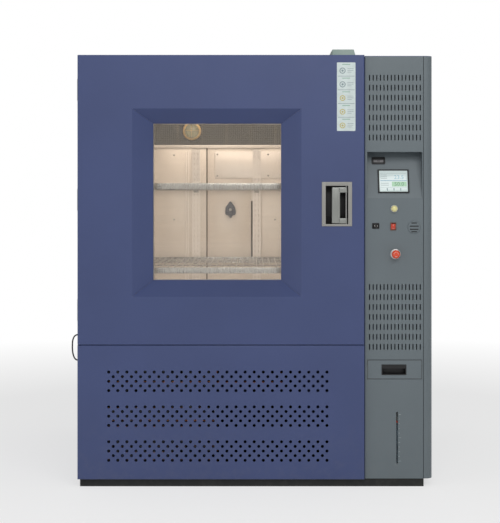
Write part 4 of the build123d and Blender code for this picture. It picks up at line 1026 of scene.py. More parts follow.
# Display: a bezel, the lit face with its bars, fields and figures, and the small socket beside it
socketGrey = moulded("socketGrey", shade(122, 120, 122), 0.45)
screenTones = {"Ground": (222, 238, 236), "Blue": (84, 150, 180), "Field": (150, 206, 160),
               "Grey": (160, 178, 178), "Ticks": (60, 110, 116), "Cyan": (120, 182, 200),
               "Green": (58, 128, 88)}
screen = {
    "middle": 0.5715, "up": 0.074, "hole": (0.117, 0.091), "frame": (0.129, 0.102), "play": 0.0006,
    "thick": (0.0002, 0.005), "face": (0.003, 0.0042), "ink": (0.0041, 0.0044),
    "bars": ((0.03, 0.97, 0.865, 0.88, 3), (0.03, 0.97, 0.505, 0.535, 1), (0.44, 0.96, 0.24, 0.47, 2)),
    "lines": ((0.62, 0.22), (0.70, 0.22), (0.78, 0.22), (0.29, 0.28), (0.38, 0.28)), "lineHeight": 0.03,
    "rule": (0.03, 0.97, 0.185, 0.195, 3), "ticks": 3, "tick": (0.255, 0.285, 0.04, 0.165),
    "tickStep": 0.238,
    "figures": (("23.5", 0.60, 5), ("50.0", 0.27, 6)), "figureSize": 0.024, "figureX": 0.023,
}
socket = {"at": (0.512, 0.164), "size": (0.056, 0.031), "corner": 0.004,
          "sideRim": 0.0055, "sideHalf": 0.0115, "endRim": 0.006, "endHalf": 0.0245,
          "port": (0.0205, -0.0075, 0.0035), "tongue": (0.006, -0.0035, -0.0005)}


def makeDisplay():
    middle, up = screen["middle"], screen["up"]
    (holeW, holeH), (width, height) = screen["hole"], screen["frame"]
    bezel = Shape()
    bezel.border(about(middle, width / 2), about(up, height / 2), screen["thick"],
                 ((width - holeW) / 2, (height - holeH) / 2), 0.0012, lap=0.001, lying=True)
    bezel.block(about(middle, holeW / 2 + 0.001), about(up, holeH / 2 + 0.001), (0.0002, 0.0029),
                finish=1)
    fixed(bezel.moved(slope).made("displayBezel", blackPlastic, blackPlastic), "cabinet", "display_bezel",
          slot="black_plastic")
    face = Shape()
    w, h = holeW - screen["play"], holeH - screen["play"]
    face.block(about(middle, w / 2), about(up, h / 2), screen["face"], 0.0002)

    def patch(x0, x1, y0, y1, finish):
        # a field of the picture, placed by shares of the face
        face.block((middle - w / 2 + x0 * w, middle - w / 2 + x1 * w),
                   (up - h / 2 + y0 * h, up - h / 2 + y1 * h), screen["ink"], finish=finish)
    for bar in screen["bars"]:
        patch(*bar)
    for level, length in screen["lines"]:
        patch(0.05, 0.05 + length, level, level + screen["lineHeight"], 3)
    patch(*screen["rule"])
    x0, x1, y0, y1 = screen["tick"]
    for i in range(screen["ticks"]):
        patch(x0 + i * screen["tickStep"], x1 + i * screen["tickStep"], y0, y1, 4)
    for text, level, finish in screen["figures"]:
        face.lettered(text, screen["figureSize"],
                      (middle + screen["figureX"], up - h / 2 + level * h, 0.0045), finish, 0.0001)
    lit = [litPanel("screen" + name, shade(*tone)) for name, tone in screenTones.items()]
    fixed(face.moved(slope).made("screenFace", *lit), "cabinet", "touch_screen", slot="screen")
    at, level = socket["at"]
    halfX, halfY = socket["size"][0] / 2, socket["size"][1] / 2
    shell = Shape()
    shell.slab(rounded(*socket["size"], socket["corner"], at=(at, level)), "z", 0.0002, 0.0026,
               edge=0.0003)
    for bar in ends(about(at, halfX), socket["sideRim"]):
        shell.block(bar, about(level, socket["sideHalf"]), (0.002, 0.004), 0.0008)
    for bar in ends(about(level, halfY), socket["endRim"]):
        shell.block(about(at, socket["endHalf"]), bar, (0.002, 0.004), 0.0008)
    half, low, high = socket["port"]
    shell.block(about(at, half), (level + low, level + high), (0.002, 0.0036), 0.0006, 1)
    half, low, high = socket["tongue"]
    shell.block(about(at, half), (level + low, level + high), (0.003, 0.0038), 0.0003)
    fixed(shell.moved(slope).made("dataSocket", blackPlastic, socketGrey), "cabinet",
          "data_socket", slot="black_plastic")


# Lamp, rocker switches, buzzer and emergency stop: places on the column front and outlines
controls = {
    "lamp": (0.572, 1.144), "buzzer": (0.654, 1.067), "stop": (0.577, 0.957),
    "lampRadius": 0.013, "lampDepth": 0.009,
    "lampCollar": [(0.0125, -0.0045), (0.0145, -0.0045), (0.015, -0.0035), (0.015, 0), (0.011, 0),
                   (0.011, 0.028), (0.009, 0.028), (0.009, -0.001)],
    "buzzerBody": [(0, -0.0038), (0.0225, -0.0042), (0.0248, -0.0034), (0.0262, -0.0018), (0.0265, 0),
                   (0, 0)],
    "buzzerSlots": ((0.018, 0.012), (0.005, 0.019), (-0.008, 0.018), (-0.018, 0.012)),
    "collar": [(0.0083, -0.005), (0.0185, -0.005), (0.0202, -0.0042), (0.021, -0.003), (0.021, 0),
               (0.0115, 0), (0.0115, 0.012), (0.0083, 0.012)],
    "contacts": {"x": 0.015, "z": 0.020, "stem": 0.0085, "y": (0.012, 0.0402), "end": (0.0401, 0.050)},
    "headBack": -0.012,
    "head": [(0.00805, 0), (0.012, 0), (0.0160, -0.0030), (0.0172, -0.0052), (0.0175, -0.008),
             (0.0172, -0.0115), (0.0158, -0.0148), (0.0125, -0.0178), (0.0080, -0.0194),
             (0.0035, -0.0199),
             (0, -0.02), (0, -0.0083), (0.00805, -0.0083)],
    "arrow": (0.0098, 0.0084), "arrowSweep": (-28, 22),
}
rockers = {
    "lampRocker": {"at": (0.496, 1.073), "size": (0.029, 0.023), "standing": False},
    "powerRocker": {"at": (0.568, 1.071), "size": (0.025, 0.033), "standing": True},
    "rim": 0.003, "collarInset": 0.002, "collarDepth": 0.022, "top": 0.0085, "tilt": 7,
    "lengthPlay": 0.009,
    "widthPlay": 0.0066, "pivot": 0.007,
}


def makePilotLamp():
    x, z = controls["lamp"]
    at = (x, columnY, z)
    radius, depth = controls["lampRadius"], controls["lampDepth"]
    dome = [(radius * math.sin(a), -depth - depth * math.cos(a)) for a in sweep(7)[1:]]
    lamp = Shape()
    lamp.turned([(0, -2 * depth)] + dome + [(radius, -0.0035), (0, -0.0035)], at, sides=40)
    lamp.turned(controls["lampCollar"], at, sides=40, finish=1)
    lamp.disc(0.0105, 0.026, 0.0285, at, sides=24, finish=2)
    fixed(lamp.made("pilotLamp", lampYellow, aluminium, blackPlastic), "cabinet", "pilot_lamp",
          slot="lamp_yellow")


def makeSwitchFrames():
    y, rim, inset = columnY, rockers["rim"], rockers["collarInset"]
    frames = Shape()
    for name, finish in (("lampRocker", 0), ("powerRocker", 1)):
        (x, z), (width, height) = rockers[name]["at"], rockers[name]["size"]
        spanX, spanZ = about(x, width / 2), about(z, height / 2)
        frames.border(spanX, (y - 0.003, y), spanZ, rim, 0.0007, finish, 0.001)
        frames.border(inside(spanX, inset), (y - 0.001, y + rockers["collarDepth"]), inside(spanZ, inset),
                      rim - inset)
        frames.block(inside(spanX, rim), (y + rockers["collarDepth"] - 0.004, y + rockers["collarDepth"]),
                     inside(spanZ, rim))
    fixed(frames.made("switchFrames", blackPlastic, brownFrame), "cabinet", "switch_frames",
          slot="black_plastic")


def rockerKey(name, finish):
    # a rocker tilted to one side, with a bar and a ring on its two halves
    x, z = rockers[name]["at"]
    width, height = rockers[name]["size"]
    standing = rockers[name]["standing"]
    half = ((height if standing else width) - rockers["lengthPlay"]) / 2
    across = (width if standing else height) - rockers["widthPlay"]
    top, mark = rockers["top"], 0.55 * half
    key = Shape()
    key.slab([(-half, top), (-half * 0.5, top + 0.0001), (0, top + 0.0007), (half * 0.5, top + 0.0001),
              (half, top), (half * 0.7, -0.003), (-half * 0.7, -0.003)], "y", -across / 2, across / 2,
             edge=0.0006)
    key.block(about(mark, 0.0004), about(0, across * 0.22), (top + 0.00005, top + 0.0005), finish=1)
    key.disc(0.0022, 0, 0.0005, (-mark, 0, top - 0.00005), "z", 20, 1, hole=0.0016)
    tilt = Matrix.Rotation(math.radians(rockers["tilt"]), 4, "Y")
    stand = Matrix.Rotation(math.radians(90), 4, "X")
    if standing:
        stand = Matrix.Rotation(math.radians(90), 4, "Y") @ stand
    key.moved(Matrix.Translation((x, columnY + rockers["pivot"], z)) @ stand @ tilt)
    return key.made(name, finish, whitePlastic)


def makeBuzzer():
    x, z = controls["buzzer"]
    y = columnY
    piece = Shape().turned(controls["buzzerBody"], (x, y, z), sides=56).made("buzzer", greyPaint)
    # black floors just behind the slots: painted shade inside the slots
    slots, floors = Shape(), Shape()
    for dz, half in controls["buzzerSlots"]:
        slots.slab(rounded(2 * half, 0.0046, 0.0022, at=(x, z + dz)), "y", y - 0.006, y - 0.001)
        floors.slab(rounded(2 * half + 0.001, 0.0056, 0.0027, at=(x, z + dz)), "y", y - 0.0016,
                    y - 0.0006)
    cutOut(piece, slots.made("slots", blackPlastic))
    piece = joined("buzzer", piece, floors.made("floors", blackPlastic))
    fixed(piece, "cabinet", "buzzer_grille", slot="grey_plastic")


def makeStop():
    x, z = controls["stop"]
    y = columnY
    contacts = controls["contacts"]
    stem = contacts["stem"]
    spanX, spanZ = about(x, contacts["x"]), about(z, contacts["z"])
    collar = Shape()
    collar.turned(controls["collar"], (x, y, z), sides=56)
    # a thin white ring at the collar's edge: painted highlight
    collar.disc(0.0208, -0.0052, -0.003, (x, y, z), sides=56, finish=2, hole=0.0200)
    collar.block(spanX, (y + contacts["end"][0], y + contacts["end"][1]), spanZ, 0.001, 1)
    collar.border(spanX, (y + contacts["y"][0], y + contacts["y"][1]), spanZ,
                  (contacts["x"] - stem, contacts["z"] - stem), 0.0005, 1)
    fixed(collar.made("stopCollar", aluminium, blackPlastic, whitePlastic), "cabinet", "estop_collar",
          slot="aluminium")
    back = controls["headBack"]
    head = Shape()
    head.turned([(radius, back + out) for radius, out in controls["head"]], (x, y, z), sides=64)
    outer, inner = controls["arrow"]
    start, end = controls["arrowSweep"]
    for turn in range(3):
        mark = Shape().slab(arc(outer, start, end, 6) + arc(inner, end, start, 6), "y",
                            y + back - 0.0196, y + back - 0.0184)
        spin = Matrix.Rotation(math.radians(90 + 120 * turn), 4, "Y")
        head.take(mark.moved(Matrix.Translation((x, 0, z)) @ spin).mesh, 1)
    fixed(head.made("stopHead", stopRed, whitePlastic), "estop_head", "estop_head", slot="red_plastic")


def makeControls():
    makePilotLamp()
    makeSwitchFrames()
    fixed(rockerKey("lampRocker", blackPlastic), "lamp_rocker", "lamp_rocker", slot="black_plastic")
    fixed(rockerKey("powerRocker", redPlastic), "power_rocker", "power_rocker", slot="red_plastic")
    makeBuzzer()
    makeStop()


# Baffle behind the test space: a lapped seam, a raised cover, a probe slot and the ledge under the outlet
baffle = {"thick": 0.002, "front": 0.127, "bottomGap": 0.047, "seamX": -0.237, "seamWidth": 0.007,
          "slotX": -0.0135, "slotZ": (0.889, 1.172), "slotWidth": 0.010, "coverX": (-0.200, 0.335),
          "coverZ": (1.283, 1.418), "coverHeight": 0.006, "ledge": 0.012, "beadX": (-0.345, -0.333),
          "beadWidth": 0.007, "standInset": (0.040, 0.060), "standWidth": 0.020}
shadowGap = rubber("shadowGap", shade(92, 78, 62), 0.8)


def makeBaffle():
    low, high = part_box("air_baffle")
    front = high.y - baffle["front"]
    z = (mouth["z0"] + baffle["bottomGap"], high.z)
    t = baffle["thick"]
    seam = about(baffle["seamX"], baffle["seamWidth"] / 2)
    slot = about(baffle["slotX"], baffle["slotWidth"] / 2)
    slotZ = baffle["slotZ"]
    sheet = Shape()
    for plate in ((low.x, seam[0]), (seam[1], slot[0]), (slot[1], high.x)):
        sheet.block(plate, (front, front + t), z, 0.0006)
    for plate in ((z[0], slotZ[0]), (slotZ[1], z[1])):
        sheet.block(inside(slot, -0.001), (front, front + t), plate)
    sheet.block(about(baffle["seamX"], 0.02), (front + t, front + t + 0.0015), z, finish=1)
    sheet.block(about(baffle["slotX"], 0.015), (front + 0.02, front + 0.0215), inside(slotZ, -0.02),
                finish=1)
    sheet.block((low.x, high.x), (front - baffle["ledge"], front + 0.0005), (z[1] - t, z[1]), 0.0006)
    (x0, x1), (z0, z1) = baffle["coverX"], baffle["coverZ"]
    cover = rounded(x1 - x0, z1 - z0, 0.012, at=((x0 + x1) / 2, (z0 + z1) / 2))
    # the raised cover and the beads take the brighter stainless: painted highlight
    sheet.slab(cover, "y", front - baffle["coverHeight"], front - 0.0002, 2, 0.002)
    for x in baffle["beadX"]:
        sheet.block((x, x + baffle["beadWidth"]), (front - 0.004, front), (z[0] + 0.01, z[1] - 0.02),
                    0.0012, 2)
    left, right = baffle["standInset"]
    for x in (mouth["x0"] + left, mouth["x1"] - right):
        sheet.block((x, x + baffle["standWidth"]), (front + t, high.y), z, 0.0006)
    piece = sheet.made("airBaffle", stainless, shadowGap, stainlessUpright)
    fixed(piece, "cabinet", "air_baffle", slot="stainless")


# Screws: their size, and where they sit as rows of x, y and z
screw = {"radius": 0.0046, "height": 0.0024, "socket": 0.42, "floor": 0.3, "sides": 14,
         "small": (0.0028, 0.0015)}
screwRows = {
    "rear": (((-0.715, 0.432, 0.468, 0.715), (backY,), (0.06, 0.30, 0.55, 0.62, 0.90, 1.18, 1.46, 1.74)),
             ((-0.43, -0.14, 0.15), (backY,), (0.06, 0.55, 0.62, 1.74))),
    "left": (((leftX,), (-0.57, -0.15, 0.27, 0.68), (0.61, 1.755)),
             ((leftX,), (-0.65, -0.20, 0.24, 0.68), (0.055, 0.565))),
    "right": (((rightX,), (-0.60, -0.16, 0.26, 0.68), (0.055, 0.9, 1.745)),),
    "roof": (((-0.71, -0.14, 0.32), (-0.57, 0.05, 0.68), (1.775,)),
             ((0.47, 0.71), (-0.62, 0.0, 0.68), (1.773,))),
    "inside": (((-0.62, -0.40, 0.10, 0.34), (baffleY,), (0.75, 1.08, 1.40)),
               ((-0.185, 0.067, 0.320), (baffleY - 0.006,), (1.298, 1.403))),
    "doorHinge": (((leftX - 0.003,), (-0.650, -0.622), (0.686, 0.754, 1.146, 1.214, 1.606, 1.674)),),
    "cabinetHinge": (((leftX - 0.003,), (-0.580, -0.552), (0.686, 0.754, 1.146, 1.214, 1.606, 1.674)),),
    "handle": (((0.2805, 0.3895), (frontY - 0.003,), (1.084, 1.2465)),),
}
# No screw where a louvre hood or the raised cover is
screwGaps = ((0.468, backY, 0.30), (0.10, baffleY, 1.40), (0.34, baffleY, 1.40))
# Louvre hoods on the back with black sheets behind them as painted shade, and the pan under the floor
louvre = {"x": (-0.35, 0.10, 0.58), "rows": 6, "lowest": 0.149, "step": 0.045, "half": 0.108,
          "bends": (0.4, 0.8, 1.2, 1.57), "depth": 0.008, "height": 0.013, "shadeSheetHalf": 0.114,
          "shadeSheetY": (-0.0045, -0.0025), "shadeSheetZ": (0.142, 0.394)}
basePan = {"x": (-0.7265, 0.722), "y": (-0.672, 0.6985), "z": (0.0331, 0.0338)}


def screwPattern(radius=screw["radius"], height=screw["height"]):
    # a low domed head with a socket, standing on x and y, its top towards z
    hole, floor = radius * screw["socket"], height * screw["floor"]
    profile = [(0, floor), (hole, floor), (hole, height * 0.97)]
    profile += [(radius * math.sin(a), height * math.cos(a) ** 0.8) for a in (0.5, 0.8, 1.1, 1.35)]
    profile += [(radius, 0.0), (0, 0)]
    return Shape().turned(profile, (0, 0, 0), "z", screw["sides"]).made("pattern", brightSteel)


def screws(name, rows, pattern, material, turn=(0, 0, 0)):
    spots = [(x, y, z) for xs, ys, zs in screwRows[rows] for x in xs for y in ys for z in zs]
    return scattered(name, [spot for spot in spots if spot not in screwGaps], pattern, material, turn)


def makeScrews():
    head = screwPattern()
    pieces = [screws("rear", "rear", head, galvanised, toRear),
              screws("left", "left", head, galvanised, toLeft),
              screws("right", "right", head, galvanised, toRight),
              screws("roof", "roof", head, galvanised),
              screws("inside", "inside", head, brightSteel, toFront)]
    fixed(joined("cabinetScrews", *pieces), "cabinet", slot="galvanised")
    small = screwPattern(*screw["small"])
    for name, rows, body, turn in (("doorHingeScrews", "doorHinge", "door", toLeft),
                                   ("cabinetHingeScrews", "cabinetHinge", "cabinet", toLeft),
                                   ("handleScrews", "handle", "door", toFront)):
        fixed(screws(name, rows, small, brightSteel, turn), body, slot="bright_steel")
    clear(head)
    clear(small)


def makeFixings():
    makeScrews()
    depth, height = louvre["depth"], louvre["height"]
    curve = [(depth * math.sin(a), height * (1 - math.cos(a))) for a in louvre["bends"]]
    outline = [(0.0, 0.0)] + curve
    outline += [(0.0065, height), (0.0, 0.011)]
    pattern = Shape().slab(outline, "x", *about(0, louvre["half"])).made("pattern", bluePaint)
    # the top hood of the last group is left out, where the power inlet sits
    spots = [(x, backY, louvre["lowest"] + louvre["step"] * row) for x in louvre["x"]
             for row in range(louvre["rows"]) if (x, row) != (louvre["x"][-1], louvre["rows"] - 1)]
    fixed(scattered("rearLouvres", spots, pattern, bluePaint), "cabinet", slot="blue_paint")
    clear(pattern)
    # black sheets behind the louvre groups, standing for the shade inside the machine space: painted
    # shade
    shadeSheets = Shape()
    near, far = louvre["shadeSheetY"]
    for x in louvre["x"]:
        shadeSheets.block(about(x, louvre["shadeSheetHalf"]), (backY + near, backY + far), louvre["shadeSheetZ"], 0.0004)
    fixed(shadeSheets.made("rearFilterMats", blackPlastic), "cabinet", slot="black_plastic")
    pan = Shape().block(basePan["x"], basePan["y"], basePan["z"], 0.0002)
    fixed(pan.made("basePan", blackPaint), "cabinet", slot="black_paint")


# Plain strip on the door: five cells with thin rules and plain rings, nothing written on it
strip = {"x": (0.335, 0.411), "z": (1.463, 1.744), "cells": 5, "thick": 0.0006, "corner": 0.003,
         "ringX": 0.023, "ringAt": 0.60, "ringHole": 0.72, "ringDot": 0.36,
         "ringRadius": (0.0125, 0.0115),
         "darkRings": 2, "ruleHalf": 0.0009, "lines": 3, "lineX": 0.043, "lineStep": 0.007,
         "lineHalf": 0.0008,
         "labelInset": 0.022, "labelDrop": (0.0098, 0.0066)}
stripWhite = moulded("stripWhite", shade(214, 226, 224), 0.4, 0.1)
stripRule = moulded("stripRule", shade(140, 158, 162), 0.5, 0.1)
stripOchre = moulded("stripOchre", shade(196, 182, 96), 0.5, 0.1)
stripGreen = moulded("stripGreen", shade(150, 186, 168), 0.5, 0.1)


def makeStrip():
    (x0, x1), (z0, z1) = strip["x"], strip["z"]
    y, thick = frontY, strip["thick"]
    plate = Shape()
    plate.slab(rounded(x1 - x0, z1 - z0, strip["corner"], at=((x0 + x1) / 2, (z0 + z1) / 2)), "y",
               y - thick, y - 0.00005)
    cell = (z1 - z0) / strip["cells"]
    ink = (y - thick - 0.00015, y - thick + 0.0001)
    for i in range(strip["cells"]):
        top = z1 - i * cell
        if i:
            plate.block((x0 + 0.004, x1 - 0.004), ink, about(top, strip["ruleHalf"]), finish=1)
        middle = top - cell * strip["ringAt"]
        kind = 0 if i < strip["darkRings"] else 1
        circle = arc(strip["ringRadius"][kind], 0, 360, 32)[:-1]
        for share, lift, finish in ((1.0, 0.0, kind + 1), (strip["ringHole"], 0.0001, 0),
                                    (strip["ringDot"], 0.0002, kind + 1)):
            plate.slab([(x0 + strip["ringX"] + a * share, middle + b * share) for a, b in circle], "y",
                       ink[0] - lift, ink[1], finish=finish)
        for line in range(strip["lines"]):
            level = middle + 0.008 - line * strip["lineStep"]
            end = x1 - (0.008 if line < strip["lines"] - 1 else 0.016)
            plate.block((x0 + strip["lineX"], end), ink, about(level, strip["lineHalf"]), finish=1)
        low, high = strip["labelDrop"]
        plate.block(inside((x0, x1), strip["labelInset"]), ink, (top - low, top - high), finish=3)
    fixed(plate.made("doorStrip", stripWhite, stripRule, stripOchre, stripGreen), "door",
          slot="white_plastic")


# Door gasket: a round bulb on a flat foot, run round the mouth of the chamber
gasket = {"width": 0.016, "corner": 0.012, "foot": 0.0022, "shoulder": 0.0028, "bulbFrom": 0.0036,
          "bulb": 0.36, "neck": 0.14}


def makeGasket():
    x, y, z = spans(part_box("door_gasket"))
    wide, start, neck = gasket["width"], gasket["bulbFrom"], gasket["neck"]
    section = [(0.0, 0.0), (wide, 0.0), (wide, gasket["foot"]), (wide * (1 - neck), gasket["shoulder"])]
    section += [(wide / 2 + wide * gasket["bulb"] * math.cos(a),
                 start + (y[1] - y[0] - start) * math.sin(a))
                for a in sweep(8, math.pi)]
    section += [(wide * neck, gasket["shoulder"]), (0.0, gasket["foot"])]
    part = bmesh.new()
    rings = []
    for inset, depth in section:
        outline = rounded(x[1] - x[0] - 2 * inset, z[1] - z[0] - 2 * inset,
                          gasket["corner"] + wide - inset, 6,
                          (sum(x) / 2, sum(z) / 2))
        rings.append([part.verts.new((a, y[0] + depth, b)) for a, b in outline])
    for first, second in zip(rings, rings[1:] + rings[:1]):
        for i in range(len(first)):
            j = (i + 1) % len(first)
            part.faces.new((first[i], first[j], second[j], second[i]))
    fixed(Shape().take(part, 0).made("doorGasket", sealRubber, angle=60), "door", "door_gasket",
          slot="seal_rubber")


# Round lamp in its cage, and the probe cap on the baffle
chamberLamp = {
    "base": [(0.046, 0), (0.046, -0.010), (0.0445, -0.0135), (0.041, -0.015), (0.036, -0.015),
             (0.036, 0)],
    "radius": 0.0355, "from": -0.012, "shoulder": -0.020, "depth": 0.036,
    "hoopRadius": 0.040, "hoopDepth": 0.0435, "hoopWire": 0.0013, "hoops": (0, 90),
}
probe = {
    "outline": ((-0.026, -0.020), (-0.021, -0.027), (-0.007, -0.030), (-0.004, -0.041), (0.006, -0.041),
                (0.008, -0.030), (0.024, -0.025), (0.027, -0.014), (0.022, 0.014), (0.012, 0.026),
                (0.003, 0.040), (-0.004, 0.040), (-0.014, 0.024), (-0.024, 0.012)),
    "depth": 0.040, "edge": 0.005,
    "tip": [(0, -0.056), (0.006, -0.055), (0.0075, -0.050), (0.0075, -0.036), (0, -0.036)],
}
lampDome = litPanel("lampDome", shade(214, 204, 158), 0.25)
probeRubber = rubber("probeRubber", shade(62, 66, 76), 0.7)


def makeChamberFittings():
    x, y, z = spans(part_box("chamber_lamp"))
    at = (sum(x) / 2, y[1], sum(z) / 2)
    radius, start, shoulder = (chamberLamp[key] for key in ("radius", "from", "shoulder"))
    depth = chamberLamp["depth"]
    lamp = Shape().turned(chamberLamp["base"], at, sides=48, finish=1)
    dome = [(radius, start), (radius, shoulder)]
    dome += [(radius * math.cos(a), shoulder - depth * math.sin(a)) for a in sweep(8)[1:-1]]
    lamp.turned(dome + [(0, shoulder - depth), (0, start)], at, sides=40)
    hoop = [(chamberLamp["hoopRadius"] * math.cos(a), start - chamberLamp["hoopDepth"] * math.sin(a))
            for a in sweep(14, math.pi)]
    for turn in chamberLamp["hoops"]:
        c, s = math.cos(math.radians(turn)), math.sin(math.radians(turn))
        lamp.tube([(at[0] + a * c, at[1] + b, at[2] + a * s) for a, b in hoop], chamberLamp["hoopWire"],
                  8, 2)
    fixed(lamp.made("chamberLamp", lampDome, lampBrass, lampBrass), "cabinet", "chamber_lamp",
          slot="lamp_glass")
    x, y, z = spans(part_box("air_probe"))
    at = (sum(x) / 2, y[1], sum(z) / 2)
    cap = Shape()
    cap.slab([(at[0] + a, at[2] + b) for a, b in probe["outline"]], "y", y[1] - probe["depth"], y[1], 0,
             probe["edge"])
    cap.turned(probe["tip"], at, sides=24, finish=1)
    fixed(cap.made("airProbe", probeRubber, aluminium), "cabinet", "air_probe", slot="seal_rubber")


# Water drawer: its flush pull, and the dark line round its front, which is painted shade of the gap
pull = {"y": -0.681, "rim": 0.004, "proud": (0.002, 0.0002), "wallInset": 0.0022, "back": 0.002,
        "lipZ": (0.0266, 0.030, 0.031), "lipTop": 0.003, "lipInset": 0.003}
drawerLine = {"y": (-0.6814, -0.6806), "z": (0.442, 0.522), "width": 0.0014, "inset": 0.001}
# Level gauge: water and float in the tube, a scale of lines beside it
gauge = {"at": (0.584, -0.672), "lines": 11, "lowest": 0.105, "step": 0.0192, "scaleX": 0.0055,
         "long": 0.010, "short": 0.006, "longEach": 5, "waterZ": (0.094, 0.2615),
         "floatZ": (0.262, 0.270)}
gaugeWater = clearGlass("gaugeWater", shade(206, 226, 238), 0.02)


def makeDrawer():
    x, deep, z = spans(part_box("drawer_pull"))
    y, rim, inset = pull["y"], pull["rim"], pull["wallInset"]
    out, into = pull["proud"]
    dish = Shape()
    dish.border(x, (y - out, y + into), z, rim, 0.0008, lap=0.001)
    dish.border(inside(x, inset), (y - 0.0005, deep[1]), inside(z, inset), rim - inset, 0.0004)
    dish.block(inside(x, rim), (deep[1] - pull["back"], deep[1]), inside(z, rim), 0.0003)
    tip, bend, hollow = (z[0] + level for level in pull["lipZ"])
    top = z[1] - pull["lipTop"]
    lip = [(y - out, top), (y - out, bend), (y - 0.0008, tip), (y + 0.001, tip), (y + 0.0004, hollow),
           (y + 0.0004, top)]
    dish.slab(lip, "x", *inside(x, pull["lipInset"]))
    fixed(dish.made("drawerPull", blackPlastic), "water_drawer", "drawer_pull", slot="black_plastic")
    # a dark line on the drawer front just inside its edge: painted shade of the gap round the drawer
    x = spans(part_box("water_drawer"))[0]
    line, inset = drawerLine["width"], drawerLine["inset"]
    edge = Shape().border(inside(x, inset), drawerLine["y"], inside(drawerLine["z"], inset), line, 0.0002,
                          lap=line)
    fixed(edge.made("drawerEdge", sealRubber), "water_drawer", slot="seal_rubber")
    gaugeX, gaugeY = gauge["at"]
    scale = Shape()
    for i in range(gauge["lines"]):
        start = gaugeX + gauge["scaleX"]
        reach = gauge["short"] if i % gauge["longEach"] else gauge["long"]
        scale.block((start, start + reach), (columnY - 0.0003, columnY + 0.0001),
                    about(gauge["lowest"] + i * gauge["step"], 0.0004))
    fixed(scale.made("gaugeScale", stripWhite), "cabinet", slot="white_plastic")
    water = Shape()
    water.disc(0.0035, *gauge["floatZ"], (gaugeX, gaugeY, 0), "z", 20, 1)
    water.disc(0.0034, *gauge["waterZ"], (gaugeX, gaugeY, 0), "z", 20)
    fixed(water.made("gaugeWater", gaugeWater, redPlastic), "cabinet", slot="gauge_clear")


# Roof cover for cables, the glands of the cable loop, the power inlet, and the loop itself
cover = {"slope": 0.017, "edge": 0.0015, "clipInset": 0.10, "clipHalf": 0.011, "clipLength": 0.012}
gland = {
    "y": -0.550, "z": (0.612, 0.503), "hexagon": 0.0098, "hexThick": 0.004,
    "nut": [(0.0036, -0.0078), (0.0062, -0.0078), (0.0076, -0.0070), (0.0082, -0.0055), (0.0082, -0.0035),
            (0.0036, -0.0035)],
    "seal": [(0.0028, -0.0086), (0.0044, -0.0086), (0.0046, -0.006), (0.0028, -0.006)],
}
inlet = {
    "at": (0.560, 0.380), "plateX": 0.580, "plate": (0.240, 0.056, 0.004), "plateThick": 0.0012,
    "body": [(0.009, 0.0015), (0.009, 0.022), (0.0135, 0.022), (0.0155, 0.020), (0.0155, 0.009),
             (0.0215, 0.008), (0.022, 0.007), (0.022, 0.0005), (0.0155, 0.0005), (0.0155, -0.014),
             (0.0, -0.014), (0.0, 0.0015)],
}
# The loop's control points in millimetres: out from the left side, y and z
cableRoute = ((8, -550, 612), (22, -550, 612), (33, -551, 605), (39.5, -552, 590), (41, -552, 570),
              (41, -552, 547), (37.5, -552, 525), (30.5, -551, 509.5), (19.5, -550, 503), (8, -550, 503))


def makeCableParts():
    low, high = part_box("cable_cover")
    lid = Shape()
    lid.slab([(low.x, low.z), (low.x, high.z), (high.x - cover["slope"], high.z), (high.x, low.z)], "y",
             low.y, high.y, 0, cover["edge"])
    for y in inside((low.y, high.y), cover["clipInset"]):
        lid.block((low.x - 0.0002, low.x + cover["clipLength"]), about(y, cover["clipHalf"]),
                  (high.z - 0.001, high.z + 0.0004), 0.0002)
    fixed(lid.made("cableCover", coverPaint), "cabinet", "cable_cover", slot="cover_paint")
    glands = Shape()
    for z in gland["z"]:
        at = (leftX, gland["y"], z)
        hexagon = arc(gland["hexagon"], 30, 390, 6, at[1:])[:-1]
        glands.slab(hexagon, "x", leftX - gland["hexThick"], leftX, 0, 0.0005)
        glands.turned(gland["nut"], at, "x", 28)
        glands.turned(gland["seal"], at, "x", 20, 1)
    glandPiece = glands.made("cableGlands", blackPlastic, sealRubber)
    fixed(glandPiece, "cabinet", "cable_glands", slot="black_plastic")
    x, z = inlet["at"]
    socketBody = Shape()
    socketBody.slab(rounded(*inlet["plate"], at=(inlet["plateX"], z)), "y", backY,
                    backY + inlet["plateThick"],
                    1, 0.0004)
    socketBody.turned(inlet["body"], (x, backY, z), "y", 40)
    fixed(socketBody.made("powerInlet", blackPlastic, bluePaint), "cabinet", slot="black_plastic")
    curve = bpy.data.curves.new("cableLoop", "CURVE")
    curve.dimensions = "3D"
    curve.resolution_u = 10
    curve.bevel_depth = 0.003
    curve.bevel_resolution = 4
    line = curve.splines.new("NURBS")
    line.points.add(len(cableRoute) - 1)
    for point, (out, y, z) in zip(line.points, cableRoute):
        point.co = (leftX - out / 1000, y / 1000, z / 1000, 1)
    line.order_u = 3
    line.use_endpoint_u = True
    curve.materials.append(cableRubber)
    loop = linked("cableLoop", curve)
    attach(loop, "cabinet")
    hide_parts("cable_loop")


# Circulation fan: a wheel of curved blades between a disc and a ring, on its hub and shaft
fan = {"at": (-0.140, 1.290), "y": (0.035, 0.095), "blades": 24, "radius": 0.140, "inner": 0.098,
       "bladeThick": 0.0014, "bladeArch": 0.013, "shaft": 0.008, "shaftEnd": 0.652}
# Condenser fan: five twisted blades on a hub
axial = {"at": (-0.400, 0.300), "blades": 5, "inner": 0.029, "radius": 0.176, "chord": 0.034,
         "swell": 0.030,
         "pitch": (40, 20), "camber": 0.006, "rake": 0.012, "thick": 0.0018, "steps": 8, "points": 6,
         "hub": 0.032, "hubLength": 0.030, "shaft": 0.006}


